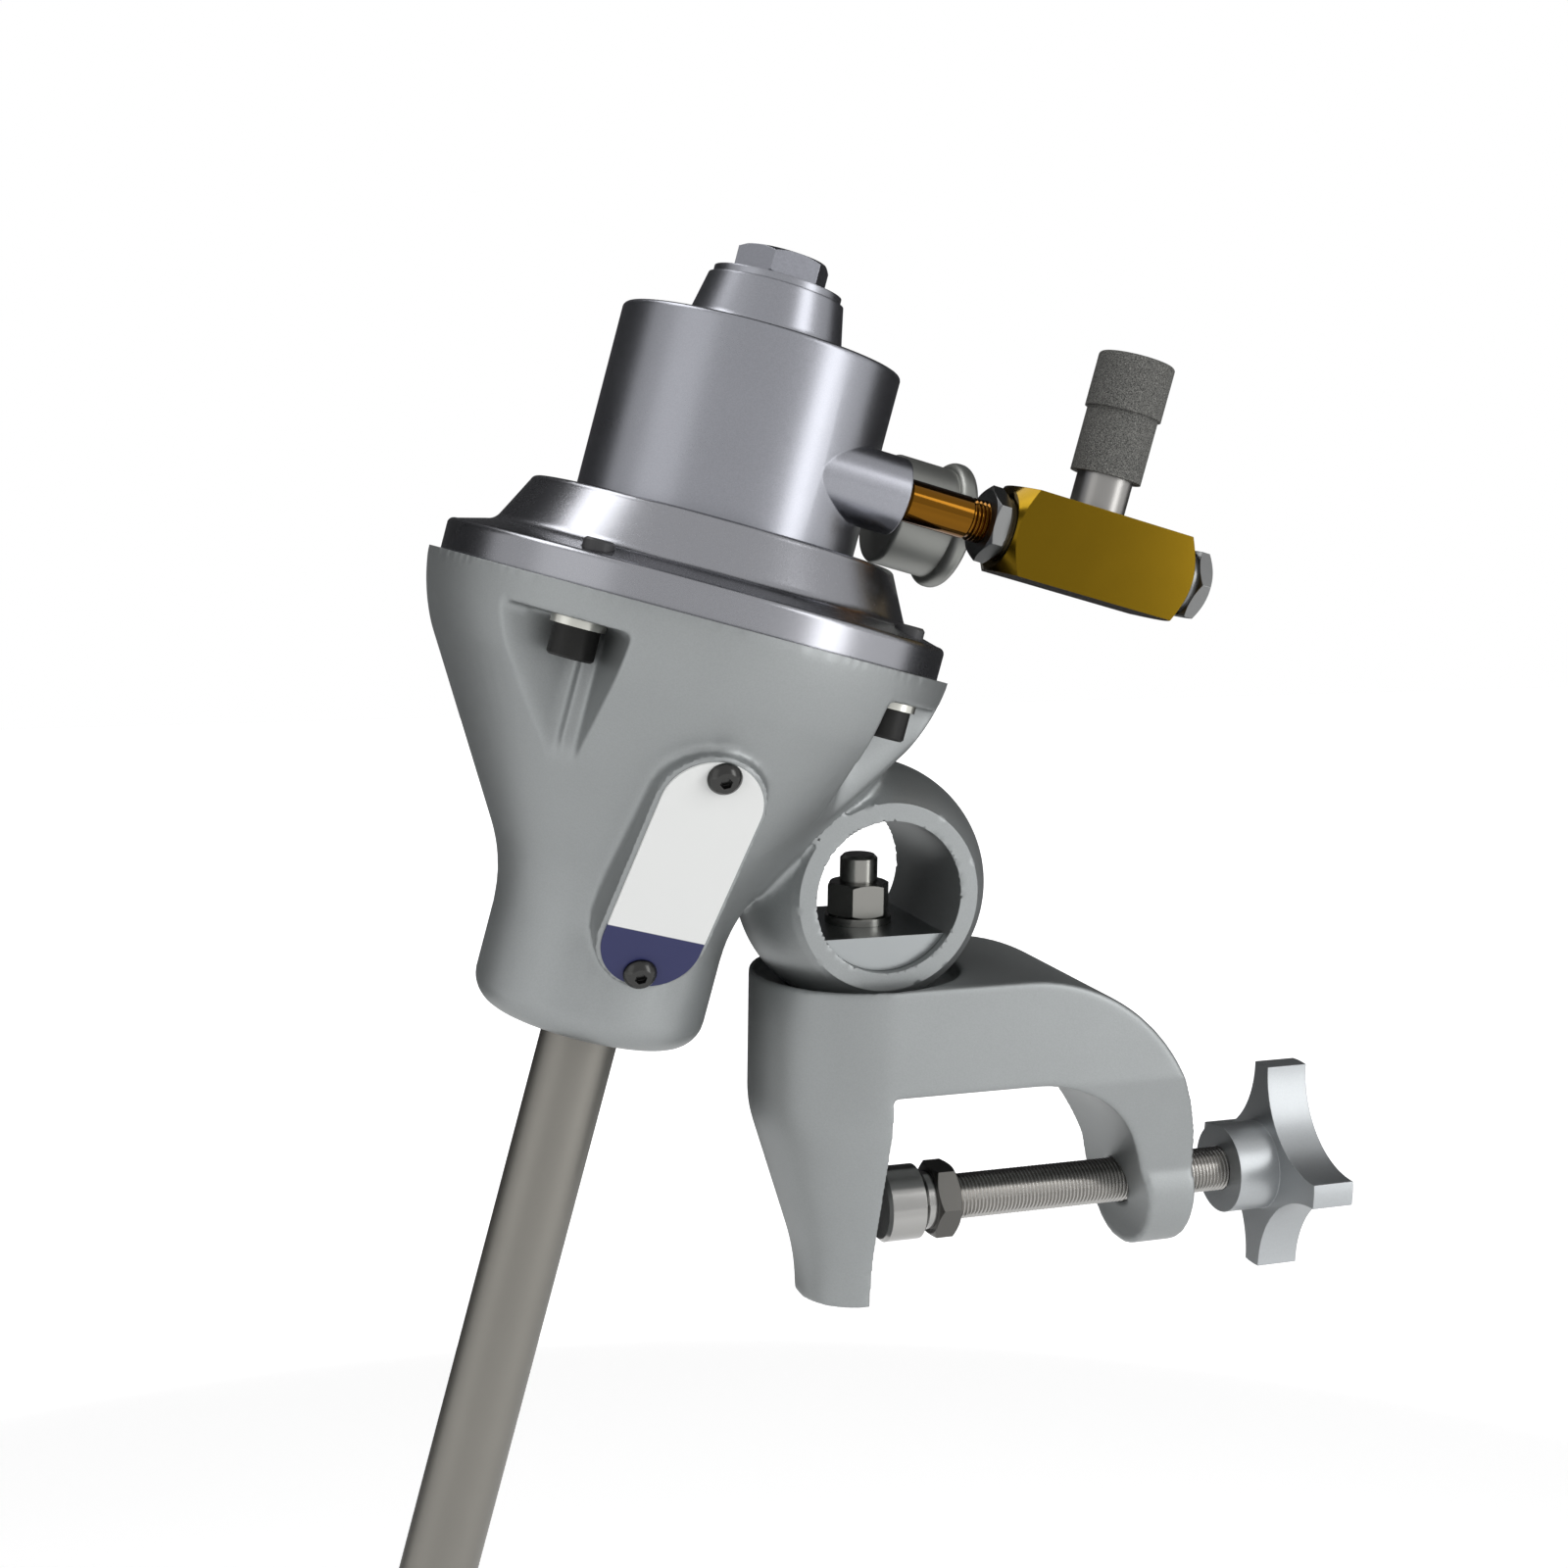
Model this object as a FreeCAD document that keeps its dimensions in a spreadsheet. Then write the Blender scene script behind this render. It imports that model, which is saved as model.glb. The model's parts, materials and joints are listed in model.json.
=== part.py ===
import FreeCAD, Part
import math
import os
import Sketcher

# Tank agitator: an air motor on a bell housing drives a long mixing shaft.
# The housing ends in a ball that tilts and swivels on a screw clamp for the rim of a tank.
# Millimetres. The origin is the middle of the clamp's fixed jaw face, on the clamp screw's axis.
# X runs from the fixed jaw to the screw, Y is the tilt axis, Z is up.

doc = FreeCAD.newDocument("tank_agitator")
sizes = doc.addObject("Spreadsheet::Sheet", "sizes")

SIZES = {
    # clamp frame
    "clamp_top": 85.6, "ball_rise": 29.4, "throat_top": 48.8, "clamp_half_width": 36.7,
    "leg_taper_top": 44.5, "leg_bend_radius": 40.0, "leg_taper_angle": 17.0, "leg_tip_radius": 19.3,
    "leg_tip_bend_radius": 80.0, "jaw_drop": 29.0, "leg_knee_radius": 22.8, "leg_knee_drop": 5.6,
    "arm_outer_start": 47.0, "arm_outer_radius": 68.0, "lug_outer_radius": 114.0,
    "arm_knee_out": 107.0, "arm_knee_height": 49.5, "lug_outer": 120.4, "lug_shoulder_drop": 4.0,
    "arm_inner_start": 52.0, "arm_inner_radius": 47.0, "lug_inner_radius": 80.6,
    "arm_hollow_out": 92.7, "arm_hollow_height": 25.3, "lug_inner": 103.5, "lug_inner_drop": 15.0,
    "lug_radius": 25.2, "lug_rise": 2.4, "lug_taper_angle": 19.0, "clamp_edge_round": 1.4,
    "cut_past": 1.0, "socket_radius": 34.9, "socket_depth": 5.2, "seat_gap": 0.15,
    # stud, nut, washer and saddle inside the ball
    "stud_radius": 6.35, "stud_bottom": 56.0, "stud_rise": 9.4, "stud_chamfer": 1.2,
    "thread_gap": 0.05, "running_gap": 0.05, "saddle_half_length": 25.0,
    "saddle_gap": 0.1, "washer_radius": 11.2, "washer_thick": 2.6,
    "stud_nut_flats": 19.05, "stud_nut_height": 11.1, "chamfer_angle": 30.0,
    # place of the head on the ball
    "head_tilt": 15.0, "tilt_range": 15.0, "ball_reach": 81.15, "ball_drop": 71.96,
    "ball_radius": 42.2, "ball_width": 57.0, "ball_bore_radius": 25.2, "slot_gap": 0.45,
    # bell housing
    "rim_radius": 85.7, "shoulder_radius": 78.8, "shoulder_drop": 24.0, "shoulder_bulge": 66.0,
    "waist_slope": 31.0, "waist_curve": 50.8, "foot_radius": 38.0,
    "foot_top_drop": 106.0, "foot_round": 10.5, "housing_length": 137.4,
    "chamber_radius": 41.0, "chamber_depth": 58.0, "pilot_radius": 57.15, "pilot_height": 3.5,
    "pilot_gap": 0.1, "bolt_circle": 73.3, "bolt_radius": 4.76, "bolt_gap": 0.35,
    "pocket_drop": 9.5, "pocket_apex": 58.4, "pocket_spread": 0.96,
    "pocket_depth": 52.0, "rib_half_width": 1.5, "rib_reach": 64.7, "bolt_count": 4,
    # nameplate and its raised land
    "plate_tilt": 24.0, "plate_middle_drop": 76.2, "plate_middle_out": 58.2, "plate_half_width": 15.75,
    "plate_half_span": 25.3, "plate_thick": 0.8, "land_margin": 1.6, "land_depth": 26.0,
    "plate_screw_span": 36.4, "plate_screw_radius": 2.5, "plate_screw_length": 9.0,
    "button_radius": 5.25, "button_height": 3.1, "button_rim": 0.7, "button_socket": 3.4,
    "button_socket_depth": 1.8, "bolt_angle": 48.0,
    # flange screws
    "cap_head_radius": 7.1, "cap_head_height": 9.4, "cap_head_chamfer": 0.7, "cap_socket": 7.9,
    "cap_socket_depth": 4.6,
    "flange_washer_radius": 8.3, "flange_washer_thick": 2.4, "bolt_tip_rise": 1.6,
    "bolt_tip_chamfer": 0.8,
    # drive end plate
    "flange_radius": 81.9, "flange_edge": 8.4, "flange_top": 10.3, "flange_lip": 79.6,
    "ring_inner": 70.6, "ring_rise": 12.7, "dome_base": 66.6, "dome_base_rise": 15.6,
    "dome_radius": 60.0, "dome_shoulder": 28.3, "dome_top_radius": 58.4, "dome_top": 29.8,
    "flange_round": 2.1, "dome_fillet": 5.0, "dome_round": 2.2,
    # motor casing
    "casing_radius": 45.7, "casing_top": 90.0, "casing_round": 1.6, "collar_base": 29.0,
    "collar_radius": 24.9, "collar_rise": 94.0, "collar_top_radius": 22.2, "collar_top": 106.4,
    "collar_fillet": 5.0,
    "rotor_chamber": 34.0, "rotor_offset": 2.4, "rotor_chamber_top": 72.0, "rotor_radius": 31.3,
    "end_gap": 0.1, "vane_count": 4, "vane_thick": 3.2, "vane_depth": 12.0, "vane_gap": 0.05,
    "vane_rise": 0.15, "motor_shaft_radius": 7.94, "motor_shaft_end": 38.0,
    "top_bearing_radius": 17.5, "top_bearing_base": 74.0, "top_bearing_height": 11.0,
    "low_bearing_radius": 20.0, "low_bearing_base": 12.0,
    "low_bearing_height": 12.0, "casing_screw_circle": 41.4, "casing_screw_radius": 2.5,
    "casing_screw_base": 20.0, "casing_screw_length": 22.0, "casing_screw_head": 4.25,
    "casing_screw_head_height": 5.0, "casing_screw_socket": 4.0, "casing_screw_socket_depth": 2.6,
    "head_gap": 0.25, "casing_screw_count": 4,
    "port_spread": 30.5, "port_rise": 52.4, "port_boss_radius": 12.4, "port_boss_end": 45.7,
    "port_boss_start": 12.0, "port_hole_depth": 14.0, "port_way": 3.0,
    # hexagon plug on top
    "seal_radius": 20.9, "seal_thick": 2.5, "plug_flats": 27.0, "plug_height": 8.6, "plug_stem": 9.5,
    "plug_depth": 9.0,
    # coupling, mixing shaft and its bearings
    "coupling_radius": 18.5, "coupling_top": 12.0, "coupling_length": 50.0, "coupling_screw_radius": 3.0,
    "coupling_screw_inset": 10.0, "shaft_radius": 12.7, "shaft_top": 40.0, "shaft_length": 914.4,
    "shaft_bearing_radius": 26.0, "shaft_bearing_height": 15.0, "upper_shaft_bearing": 73.0,
    "bearing_lift": 13.9, "bearing_shoulder": 23.0, "seal_height": 7.0, "seal_lip_radius": 20.0,
    "retainer_height": 1.8, "retainer_inner": 22.5, "retainer_bite": 1.2, "shaft_chamfer": 1.2,
    # impeller
    "impeller_hub_radius": 21.0, "impeller_hub_length": 44.0, "impeller_lift": 3.0, "hub_round": 3.0,
    "impeller_radius": 76.2, "blade_count": 3, "blade_pitch": 152.4,
    "blade_root": 16.0, "blade_root_chord": 34.0, "blade_root_thick": 6.5,
    "blade_low": 36.0, "blade_low_chord": 58.0, "blade_low_thick": 4.6,
    "blade_high": 58.0, "blade_high_chord": 62.0, "blade_high_thick": 3.2,
    "blade_tip_chord": 26.0, "blade_tip_thick": 1.6, "impeller_screw_radius": 4.0,
    # air inlet: nipple, lock nut, needle valve
    "nipple_radius": 6.86, "nipple_bore": 4.6, "nipple_end": 92.8, "lock_nut_start": 76.4,
    "lock_nut_flats": 21.5, "lock_nut_width": 5.3, "lock_nut_collar": 10.2, "valve_start": 82.8,
    "valve_half_side": 14.0, "valve_length": 66.0, "valve_corner_in": 4.6, "valve_end_radius": 13.2,
    "inlet_collar": 10.0, "inlet_collar_length": 3.4, "inlet_flats": 22.0, "inlet_length": 8.3,
    "inlet_bore": 5.9, "inlet_depth": 14.0,
    "inlet_stem": 8.0, "inlet_stem_length": 10.0, "valve_reach": 21.0,
    "stem_place": 114.8, "bonnet_radius": 9.2, "bonnet_rise": 20.0,
    "needle_radius": 3.95, "needle_tip": 1.2, "needle_seat": 7.0, "needle_free": 3.0,
    "needle_cone": 5.0, "air_way": 3.4,
    "knob_start": 77.8, "knob_step": 98.9, "knob_top": 116.8, "knob_low_radius": 11.7,
    "knob_high_radius": 12.6, "knob_round": 1.2, "knob_gap": 0.2, "knob_roof": 8.0,
    # exhaust muffler
    "muffler_radius": 19.2, "muffler_start": 66.3, "muffler_end": 92.8, "muffler_wall": 1.2,
    "can_round": 1.6, "bead_start": 86.3, "bead_round": 2.8, "exhaust_nipple_end": 70.0,
    "felt_start": 70.6, "felt_end": 89.0,
    # clamp screw, pad and four-lobed knob
    "screw_radius": 7.9, "screw_gap": 0.06, "pad_start": 9.35, "pad_radius": 13.0, "pad_length": 15.8,
    "pad_neck_radius": 10.2, "pad_neck_length": 3.0, "pad_bevel": 1.2, "pad_socket_depth": 10.0,
    "pad_bevel_width": 2.2,
    "pad_nut_flats": 23.8, "pad_nut_width": 8.2, "screw_end": 168.0,
    "knob_hub_start": 144.0, "knob_hub_radius": 16.0, "knob_plate_start": 160.0,
    "knob_plate_width": 16.0, "lobe_reach": 38.2, "lobe_half_width": 4.35, "lobe_curve": 33.0,
    "hub_fillet": 2.5,
}

for row, (name, value) in enumerate(SIZES.items(), start=1):
    sizes.set("A%d" % row, name)
    sizes.set("B%d" % row, str(value))
    sizes.setAlias("B%d" % row, name)
doc.recompute()

PARTS = []
TOUCH = 0.01


def size(formula):
    """Number that a formula of sheet names gives, with angles in degrees."""
    value = sizes.evalExpression(formula)
    return float(getattr(value, "Value", value))


def bind(target, prop, formula):
    """Ties a property to a formula of sheet names."""
    target.setExpression(prop, formula)


def sheet(formula):
    """Writes bare names as names of the sheet, such as ball_radius as sizes.ball_radius."""
    out = ""
    place = 0
    while place < len(formula):
        letter = formula[place]
        if letter.isalpha():
            end = place
            while end < len(formula) and (formula[end].isalnum() or formula[end] == "_"):
                end += 1
            word = formula[place:end]
            out += "sizes." + word if word in SIZES else word
            place = end
        else:
            out += letter
            place += 1
    return out


def new_body(name):
    """Body with its own label, listed for export."""
    body = doc.addObject("PartDesign::Body", name)
    body.Label = name
    body.AllowCompound = True
    PARTS.append(body)
    return body


def origin_plane(body, role):
    """One of the body's own origin planes."""
    return [part for part in body.Origin.OriginFeatures if part.Role == role][0]


def new_sketch(body, name, role, lift="0", rise="0", turn="0", spin="0"):
    """Sketch on an origin plane, moved along its normal and second axis, then tipped or spun."""
    draft = body.newObject("Sketcher::SketchObject", name)
    draft.AttachmentSupport = (origin_plane(body, role), [""])
    draft.MapMode = "FlatFace"
    for path, formula in (("Base.z", lift), ("Base.y", rise)):
        if formula != "0":
            bind(draft, "AttachmentOffset." + path, sheet(formula))
    for axis, formula in (((1, 0, 0), turn), ((0, 0, 1), spin)):
        if formula != "0":
            draft.AttachmentOffset = FreeCAD.Placement(FreeCAD.Vector(), FreeCAD.Vector(*axis), 1)
            bind(draft, "AttachmentOffset.Rotation.Angle", sheet(formula))
    return draft


def fix_point(draft, shape, end, x, y):
    """Ties a point of a sketch to the formulas of its place."""
    for kind, formula in (("DistanceX", x), ("DistanceY", y)):
        value = size(sheet(formula))
        row = draft.addConstraint(Sketcher.Constraint(kind, -1, 1, shape, end, value))
        if formula != "0":
            bind(draft, "Constraints[%d]" % row, sheet(formula))


def arc_between(start, end, radius, bends_right):
    """Minor arc between two points, drawn against the clock as sketches keep it."""
    chord = end.sub(start)
    away = math.sqrt(max(radius ** 2 - chord.Length ** 2 / 4, 0.0))
    left = FreeCAD.Vector(-chord.y, chord.x, 0).normalize()
    centre = start.add(end).multiply(0.5).add(left.multiply(-away if bends_right else away))
    first, last = (end, start) if bends_right else (start, end)
    low, high = [math.atan2(point.y - centre.y, point.x - centre.x) for point in (first, last)]
    if high < low:
        high += 2 * math.pi
    return Part.ArcOfCircle(Part.Circle(centre, FreeCAD.Vector(0, 0, 1), radius), low, high)


def outline(body, name, role, corners, arcs=None, **place):
    """Closed outline of lines and arcs.

    corners holds pairs of formulas. arcs maps a corner's number to the radius of the arc that runs
    from it to the next corner, with a minus sign where the arc bends to the right of its direction.
    """
    arcs = arcs or {}
    draft = new_sketch(body, name, role, **place)
    points = [FreeCAD.Vector(size(sheet(x)), size(sheet(y)), 0) for x, y in corners]
    total = len(points)
    ends = []
    for number, start in enumerate(points):
        end = points[(number + 1) % total]
        ends.append((1, 2))
        if number not in arcs:
            draft.addGeometry(Part.LineSegment(start, end), False)
            continue
        bends_right = arcs[number].startswith("-")
        draft.addGeometry(arc_between(start, end, size(sheet(arcs[number].lstrip("-"))), bends_right), False)
        if bends_right:
            ends[number] = (2, 1)
    for number in range(total):
        after = (number + 1) % total
        draft.addConstraint(Sketcher.Constraint("Coincident", number, ends[number][1],
                                                after, ends[after][0]))
    for number, (x, y) in enumerate(corners):
        fix_point(draft, number, ends[number][0], x, y)
    for number, formula in arcs.items():
        formula = formula.lstrip("-")
        row = draft.addConstraint(Sketcher.Constraint("Radius", number, size(sheet(formula))))
        bind(draft, "Constraints[%d]" % row, sheet(formula))
    return draft


def circles(body, name, role, spots, **place):
    """Sketch of circles, each given by the formulas of its centre and radius."""
    draft = new_sketch(body, name, role, **place)
    for number, (x, y, radius) in enumerate(spots):
        centre = FreeCAD.Vector(size(sheet(x)), size(sheet(y)), 0)
        draft.addGeometry(Part.Circle(centre, FreeCAD.Vector(0, 0, 1), size(sheet(radius))), False)
        fix_point(draft, number, 3, x, y)
        row = draft.addConstraint(Sketcher.Constraint("Radius", number, size(sheet(radius))))
        bind(draft, "Constraints[%d]" % row, sheet(radius))
    return draft


def hexagon(body, name, role, flats, x="0", y="0", first=0, **place):
    """Sketch of a hexagon, given by its size across flats and the angle of its first corner."""
    corners = []
    for turn in range(first, first + 360, 60):
        corners.append(("%s + (%s) / sqrt(3) * cos(%d)" % (x, flats, turn),
                        "%s + (%s) / sqrt(3) * sin(%d)" % (y, flats, turn)))
    return outline(body, name, role, corners, **place)


def done(body, feature, cuts=False):
    """Makes a feature the body's last one, and stops if a cut takes nothing away."""
    before = body.Shape.Volume if body.Shape.Solids else 0.0
    body.Tip = feature
    doc.recompute()
    gain = body.Shape.Volume - before
    if not feature.isValid() or gain * (-1 if cuts else 1) < 1e-3:
        raise RuntimeError("%s of %s changes nothing" % (feature.Name, body.Label))
    return feature


def pad(body, name, draft, length, back=False, both=False):
    """Adds the sketch's area along its normal, against it, or half to each side."""
    feature = body.newObject("PartDesign::Pad", name)
    feature.Profile = draft
    bind(feature, "Length", sheet(length))
    feature.Reversed = back
    if both:
        feature.SideType = "Symmetric"
    return done(body, feature)


def pocket(body, name, draft, length, ahead=False, both=False):
    """Cuts the sketch's area against its normal, along it, or half to each side."""
    feature = body.newObject("PartDesign::Pocket", name)
    feature.Profile = draft
    bind(feature, "Length", sheet(length))
    feature.Reversed = ahead
    if both:
        feature.SideType = "Symmetric"
    return done(body, feature, cuts=True)


def turned(body, name, corners, arcs=None, about="V_Axis", axis_at=None, cuts=False):
    """Turns an outline in the XZ plane about an axis, to add or to cut.

    about is V_Axis for the body's Z axis and H_Axis for its X axis. axis_at gives the place along X
    of an axis parallel to Z.
    """
    draft = outline(body, name + "_outline", "XZ_Plane", corners, arcs)
    if axis_at:
        place = size(sheet(axis_at))
        ends = (FreeCAD.Vector(place, 0, 0), FreeCAD.Vector(place, size(sheet("cut_past")), 0))
        line = draft.addGeometry(Part.LineSegment(*ends), True)
        fix_point(draft, line, 1, axis_at, "0")
        fix_point(draft, line, 2, axis_at, "cut_past")
        about = "Axis0"
    kind = "PartDesign::Groove" if cuts else "PartDesign::Revolution"
    feature = body.newObject(kind, name)
    feature.Profile = draft
    feature.ReferenceAxis = (draft, [about])
    feature.Angle = 360
    return done(body, feature, cuts)


def around(body, name, features, draft, count, cuts=False, axis="N_Axis"):
    """Repeats features round the body's Z axis, which is an axis of the given sketch."""
    feature = body.newObject("PartDesign::PolarPattern", name)
    feature.Originals = features
    feature.Axis = (draft, [axis])
    feature.Angle = 360
    bind(feature, "Occurrences", sheet(count))
    return done(body, feature, cuts)


def soften(body, name, radius, chosen):
    """Rounds those edges of the body for which chosen(edge) is true."""
    base = body.Tip
    edges = ["Edge%d" % number for number, edge in enumerate(base.Shape.Edges, start=1) if chosen(edge)]
    feature = body.newObject("PartDesign::Fillet", name)
    feature.Base = (base, edges)
    bind(feature, "Radius", sheet(radius))
    return done(body, feature, cuts=True)


def bevel_hexagon(body, name, flats, ends, about="V_Axis"):
    """Turns the corners of a hexagon down to its flats at its ends.

    ends holds pairs: the place of an end face, and + or - for the side that the metal is on.
    """
    inner = "(%s) / 2" % flats
    outer = "((%s) / sqrt(3) + cut_past)" % flats
    slope = "(%s - %s) * tan(chamfer_angle)" % (outer, inner)
    for number, (end, sign) in enumerate(ends):
        corners = [(inner, end), (outer, end), (outer, "%s %s %s" % (end, sign, slope))]
        if about == "H_Axis":
            corners = [(along, out) for out, along in corners]
        turned(body, "%s_%d" % (name, number), corners, about=about, cuts=True)


def ring(name, outer, inner, low, high, about="V_Axis"):
    """Body with a plain ring between two places on its axis."""
    body = new_body(name)
    corners = [(inner, low), (outer, low), (outer, high), (inner, high)]
    if about == "H_Axis":
        corners = [(along, out) for out, along in corners]
    turned(body, "ring", corners, about=about)
    return body


def seat(body, formula):
    """Places a body by a formula of the sheet's sizes."""
    bind(body, "Placement", sheet(formula))
    doc.recompute()
    return body


def inset(x="0", y="0", z="0", axis="0; 0; 1", angle="0"):
    """Formula of a place and a turn."""
    return "placement(vector(%s; %s; %s); rotation(vector(%s); %s))" % (x, y, z, axis, angle)


BALL_HEIGHT = "(clamp_top + ball_rise)"

# The head frame starts at the middle of the housing's rim and its Z axis is the mixing shaft's axis.
HEAD = inset(x="-ball_reach * cos(head_tilt) + ball_drop * sin(head_tilt)",
             z=BALL_HEIGHT + " + ball_reach * sin(head_tilt) + ball_drop * cos(head_tilt)",
             axis="0; 1; 0", angle="head_tilt")
PLATE = HEAD + " * " + inset(y="-plate_middle_out", z="-plate_middle_drop", axis="1; 0; 0",
                             angle="90 + plate_tilt")
BOLTS = HEAD + " * " + inset(angle="bolt_angle")
INLET = HEAD + " * " + inset(y="-port_spread", z="port_rise")
EXHAUST = HEAD + " * " + inset(y="port_spread", z="port_rise")
STEM = HEAD + " * " + inset(x="stem_place", y="-port_spread")
WORLD = inset()

LOWER_BEARING = "(housing_length - bearing_lift)"
SHAFT_BOTTOM = "-shaft_top - shaft_length"
HUB_BOTTOM = SHAFT_BOTTOM + " + impeller_lift"


def clamp_frame():
    """Casting: round leg with the fixed jaw, arm over the throat, and lug for the screw."""
    body = new_body("clamp_frame")
    bend_in = "leg_bend_radius * (1 - cos(leg_taper_angle))"
    bend_down = "leg_bend_radius * sin(leg_taper_angle)"
    leg = [("0", "clamp_top"), ("0", "-jaw_drop"), ("-leg_tip_radius", "-jaw_drop"),
           ("-leg_knee_radius", "-leg_knee_drop"),
           ("-clamp_half_width + " + bend_in, "leg_taper_top - " + bend_down),
           ("-clamp_half_width", "leg_taper_top"), ("-clamp_half_width", "clamp_top")]
    draft = outline(body, "leg_outline", "XZ_Plane", leg,
                    {2: "leg_tip_bend_radius", 4: "-leg_bend_radius"})
    half = body.newObject("PartDesign::Revolution", "leg")
    half.Profile = draft
    half.ReferenceAxis = (draft, ["V_Axis"])
    half.Angle = 180
    half.Midplane = True
    done(body, half)
    arm = [("0", "clamp_top"), ("0", "throat_top"), ("arm_inner_start", "throat_top"),
           ("arm_hollow_out", "arm_hollow_height"), ("lug_inner", "-lug_inner_drop"),
           ("lug_inner", "lug_rise - lug_radius"), ("lug_outer", "lug_rise - lug_radius"),
           ("lug_outer", "-lug_shoulder_drop"), ("arm_knee_out", "arm_knee_height"),
           ("arm_outer_start", "clamp_top")]
    draft = outline(body, "arm_outline", "XZ_Plane", arm,
                    {2: "-arm_inner_radius", 3: "-lug_inner_radius", 7: "lug_outer_radius",
                     8: "arm_outer_radius"})
    pad(body, "arm", draft, "2 * clamp_half_width", both=True)
    lean = "tan(lug_taper_angle)"
    touch_out = "lug_radius * cos(lug_taper_angle)"
    touch_up = "lug_rise + lug_radius * sin(lug_taper_angle)"
    start = "%s + (clamp_half_width - %s) / %s" % (touch_up, touch_out, lean)
    sides = [("-clamp_half_width - cut_past", start), ("-clamp_half_width", start), ("-" + touch_out, touch_up),
             ("0", "lug_rise - lug_radius"), (touch_out, touch_up), ("clamp_half_width", start),
             ("clamp_half_width + cut_past", start),
             ("clamp_half_width + cut_past", "lug_rise - lug_radius - cut_past"),
             ("-clamp_half_width - cut_past", "lug_rise - lug_radius - cut_past")]
    draft = outline(body, "lug_sides", "YZ_Plane", sides, {2: "lug_radius", 3: "lug_radius"},
                    lift="arm_inner_start")
    pocket(body, "lug_taper", draft, "lug_outer", ahead=True)
    floor = "clamp_top - socket_depth"
    cup = "ball_radius + seat_gap"
    rim = "sqrt((%s) ^ 2 - (%s - (%s)) ^ 2)" % (cup, BALL_HEIGHT, floor)
    turned(body, "ball_socket",
           [("0", "%s - (%s)" % (BALL_HEIGHT, cup)), (rim, floor), ("socket_radius", floor),
            ("socket_radius", "clamp_top + cut_past"), ("0", "clamp_top + cut_past")], {0: cup}, cuts=True)
    turned(body, "stud_hole",
           [("0", "stud_bottom"), ("stud_radius + thread_gap", "stud_bottom"),
            ("stud_radius + thread_gap", "clamp_top"), ("0", "clamp_top")], cuts=True)
    turned(body, "screw_hole",
           [("arm_inner_start", "0"), ("lug_outer + cut_past", "0"),
            ("lug_outer + cut_past", "screw_radius + screw_gap"),
            ("arm_inner_start", "screw_radius + screw_gap")], about="H_Axis", cuts=True)
    half_width = size(sheet("clamp_half_width"))
    knee_out = size(sheet("arm_knee_out"))
    taper_top = size(sheet(start))

    def long_edge(edge):
        """True for the arm's long edges: on its flat sides, between the leg and the knee."""
        middle = edge.valueAt((edge.FirstParameter + edge.LastParameter) / 2)
        on_side = abs(abs(middle.y) - half_width) < TOUCH and 0 < middle.x < knee_out
        return on_side and middle.z > taper_top + TOUCH

    soften(body, "edge_rounds", "clamp_edge_round", long_edge)
    return seat(body, WORLD)


def swivel_group():
    """Stud, nut and washer of the clamp, and the saddle that they press into the ball's bore."""
    stud = new_body("swivel_stud")
    top = BALL_HEIGHT + " + stud_rise"
    turned(stud, "stud",
           [("0", "stud_bottom"), ("stud_radius", "stud_bottom"), ("stud_radius", top + " - stud_chamfer"),
            ("stud_radius - stud_chamfer", top), ("0", top)])
    seat(stud, WORLD)
    nut = new_body("stud_nut")
    low = BALL_HEIGHT + " - stud_nut_height"
    draft = hexagon(nut, "flats", "XY_Plane", "stud_nut_flats", lift=low)
    pad(nut, "hexagon", draft, "stud_nut_height")
    draft = circles(nut, "bore_circle", "XY_Plane", [("0", "0", "stud_radius + thread_gap")], lift=low)
    pocket(nut, "bore", draft, "stud_nut_height", ahead=True)
    bevel_hexagon(nut, "bevel", "stud_nut_flats", [(low, "+"), (BALL_HEIGHT, "-")])
    seat(nut, WORLD)
    washer = ring("stud_washer", "washer_radius", "stud_radius + thread_gap", low + " - washer_thick", low)
    seat(washer, WORLD)
    saddle = new_body("saddle_block")
    bore = "ball_bore_radius - saddle_gap"
    drop = "(stud_nut_height + washer_thick)"
    chord = "sqrt((%s) ^ 2 - %s ^ 2)" % (bore, drop)
    level = BALL_HEIGHT + " - " + drop
    corners = [("-" + chord, level), ("0", "%s - (%s)" % (BALL_HEIGHT, bore)), (chord, level)]
    draft = outline(saddle, "segment", "XZ_Plane", corners, {0: bore, 1: bore})
    pad(saddle, "block", draft, "2 * saddle_half_length", both=True)
    draft = circles(saddle, "hole_circle", "XY_Plane", [("0", "0", "stud_radius + running_gap")],
                    lift=BALL_HEIGHT + " - ball_bore_radius")
    pocket(saddle, "hole", draft, "ball_bore_radius", ahead=True)
    return seat(saddle, WORLD)


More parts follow.
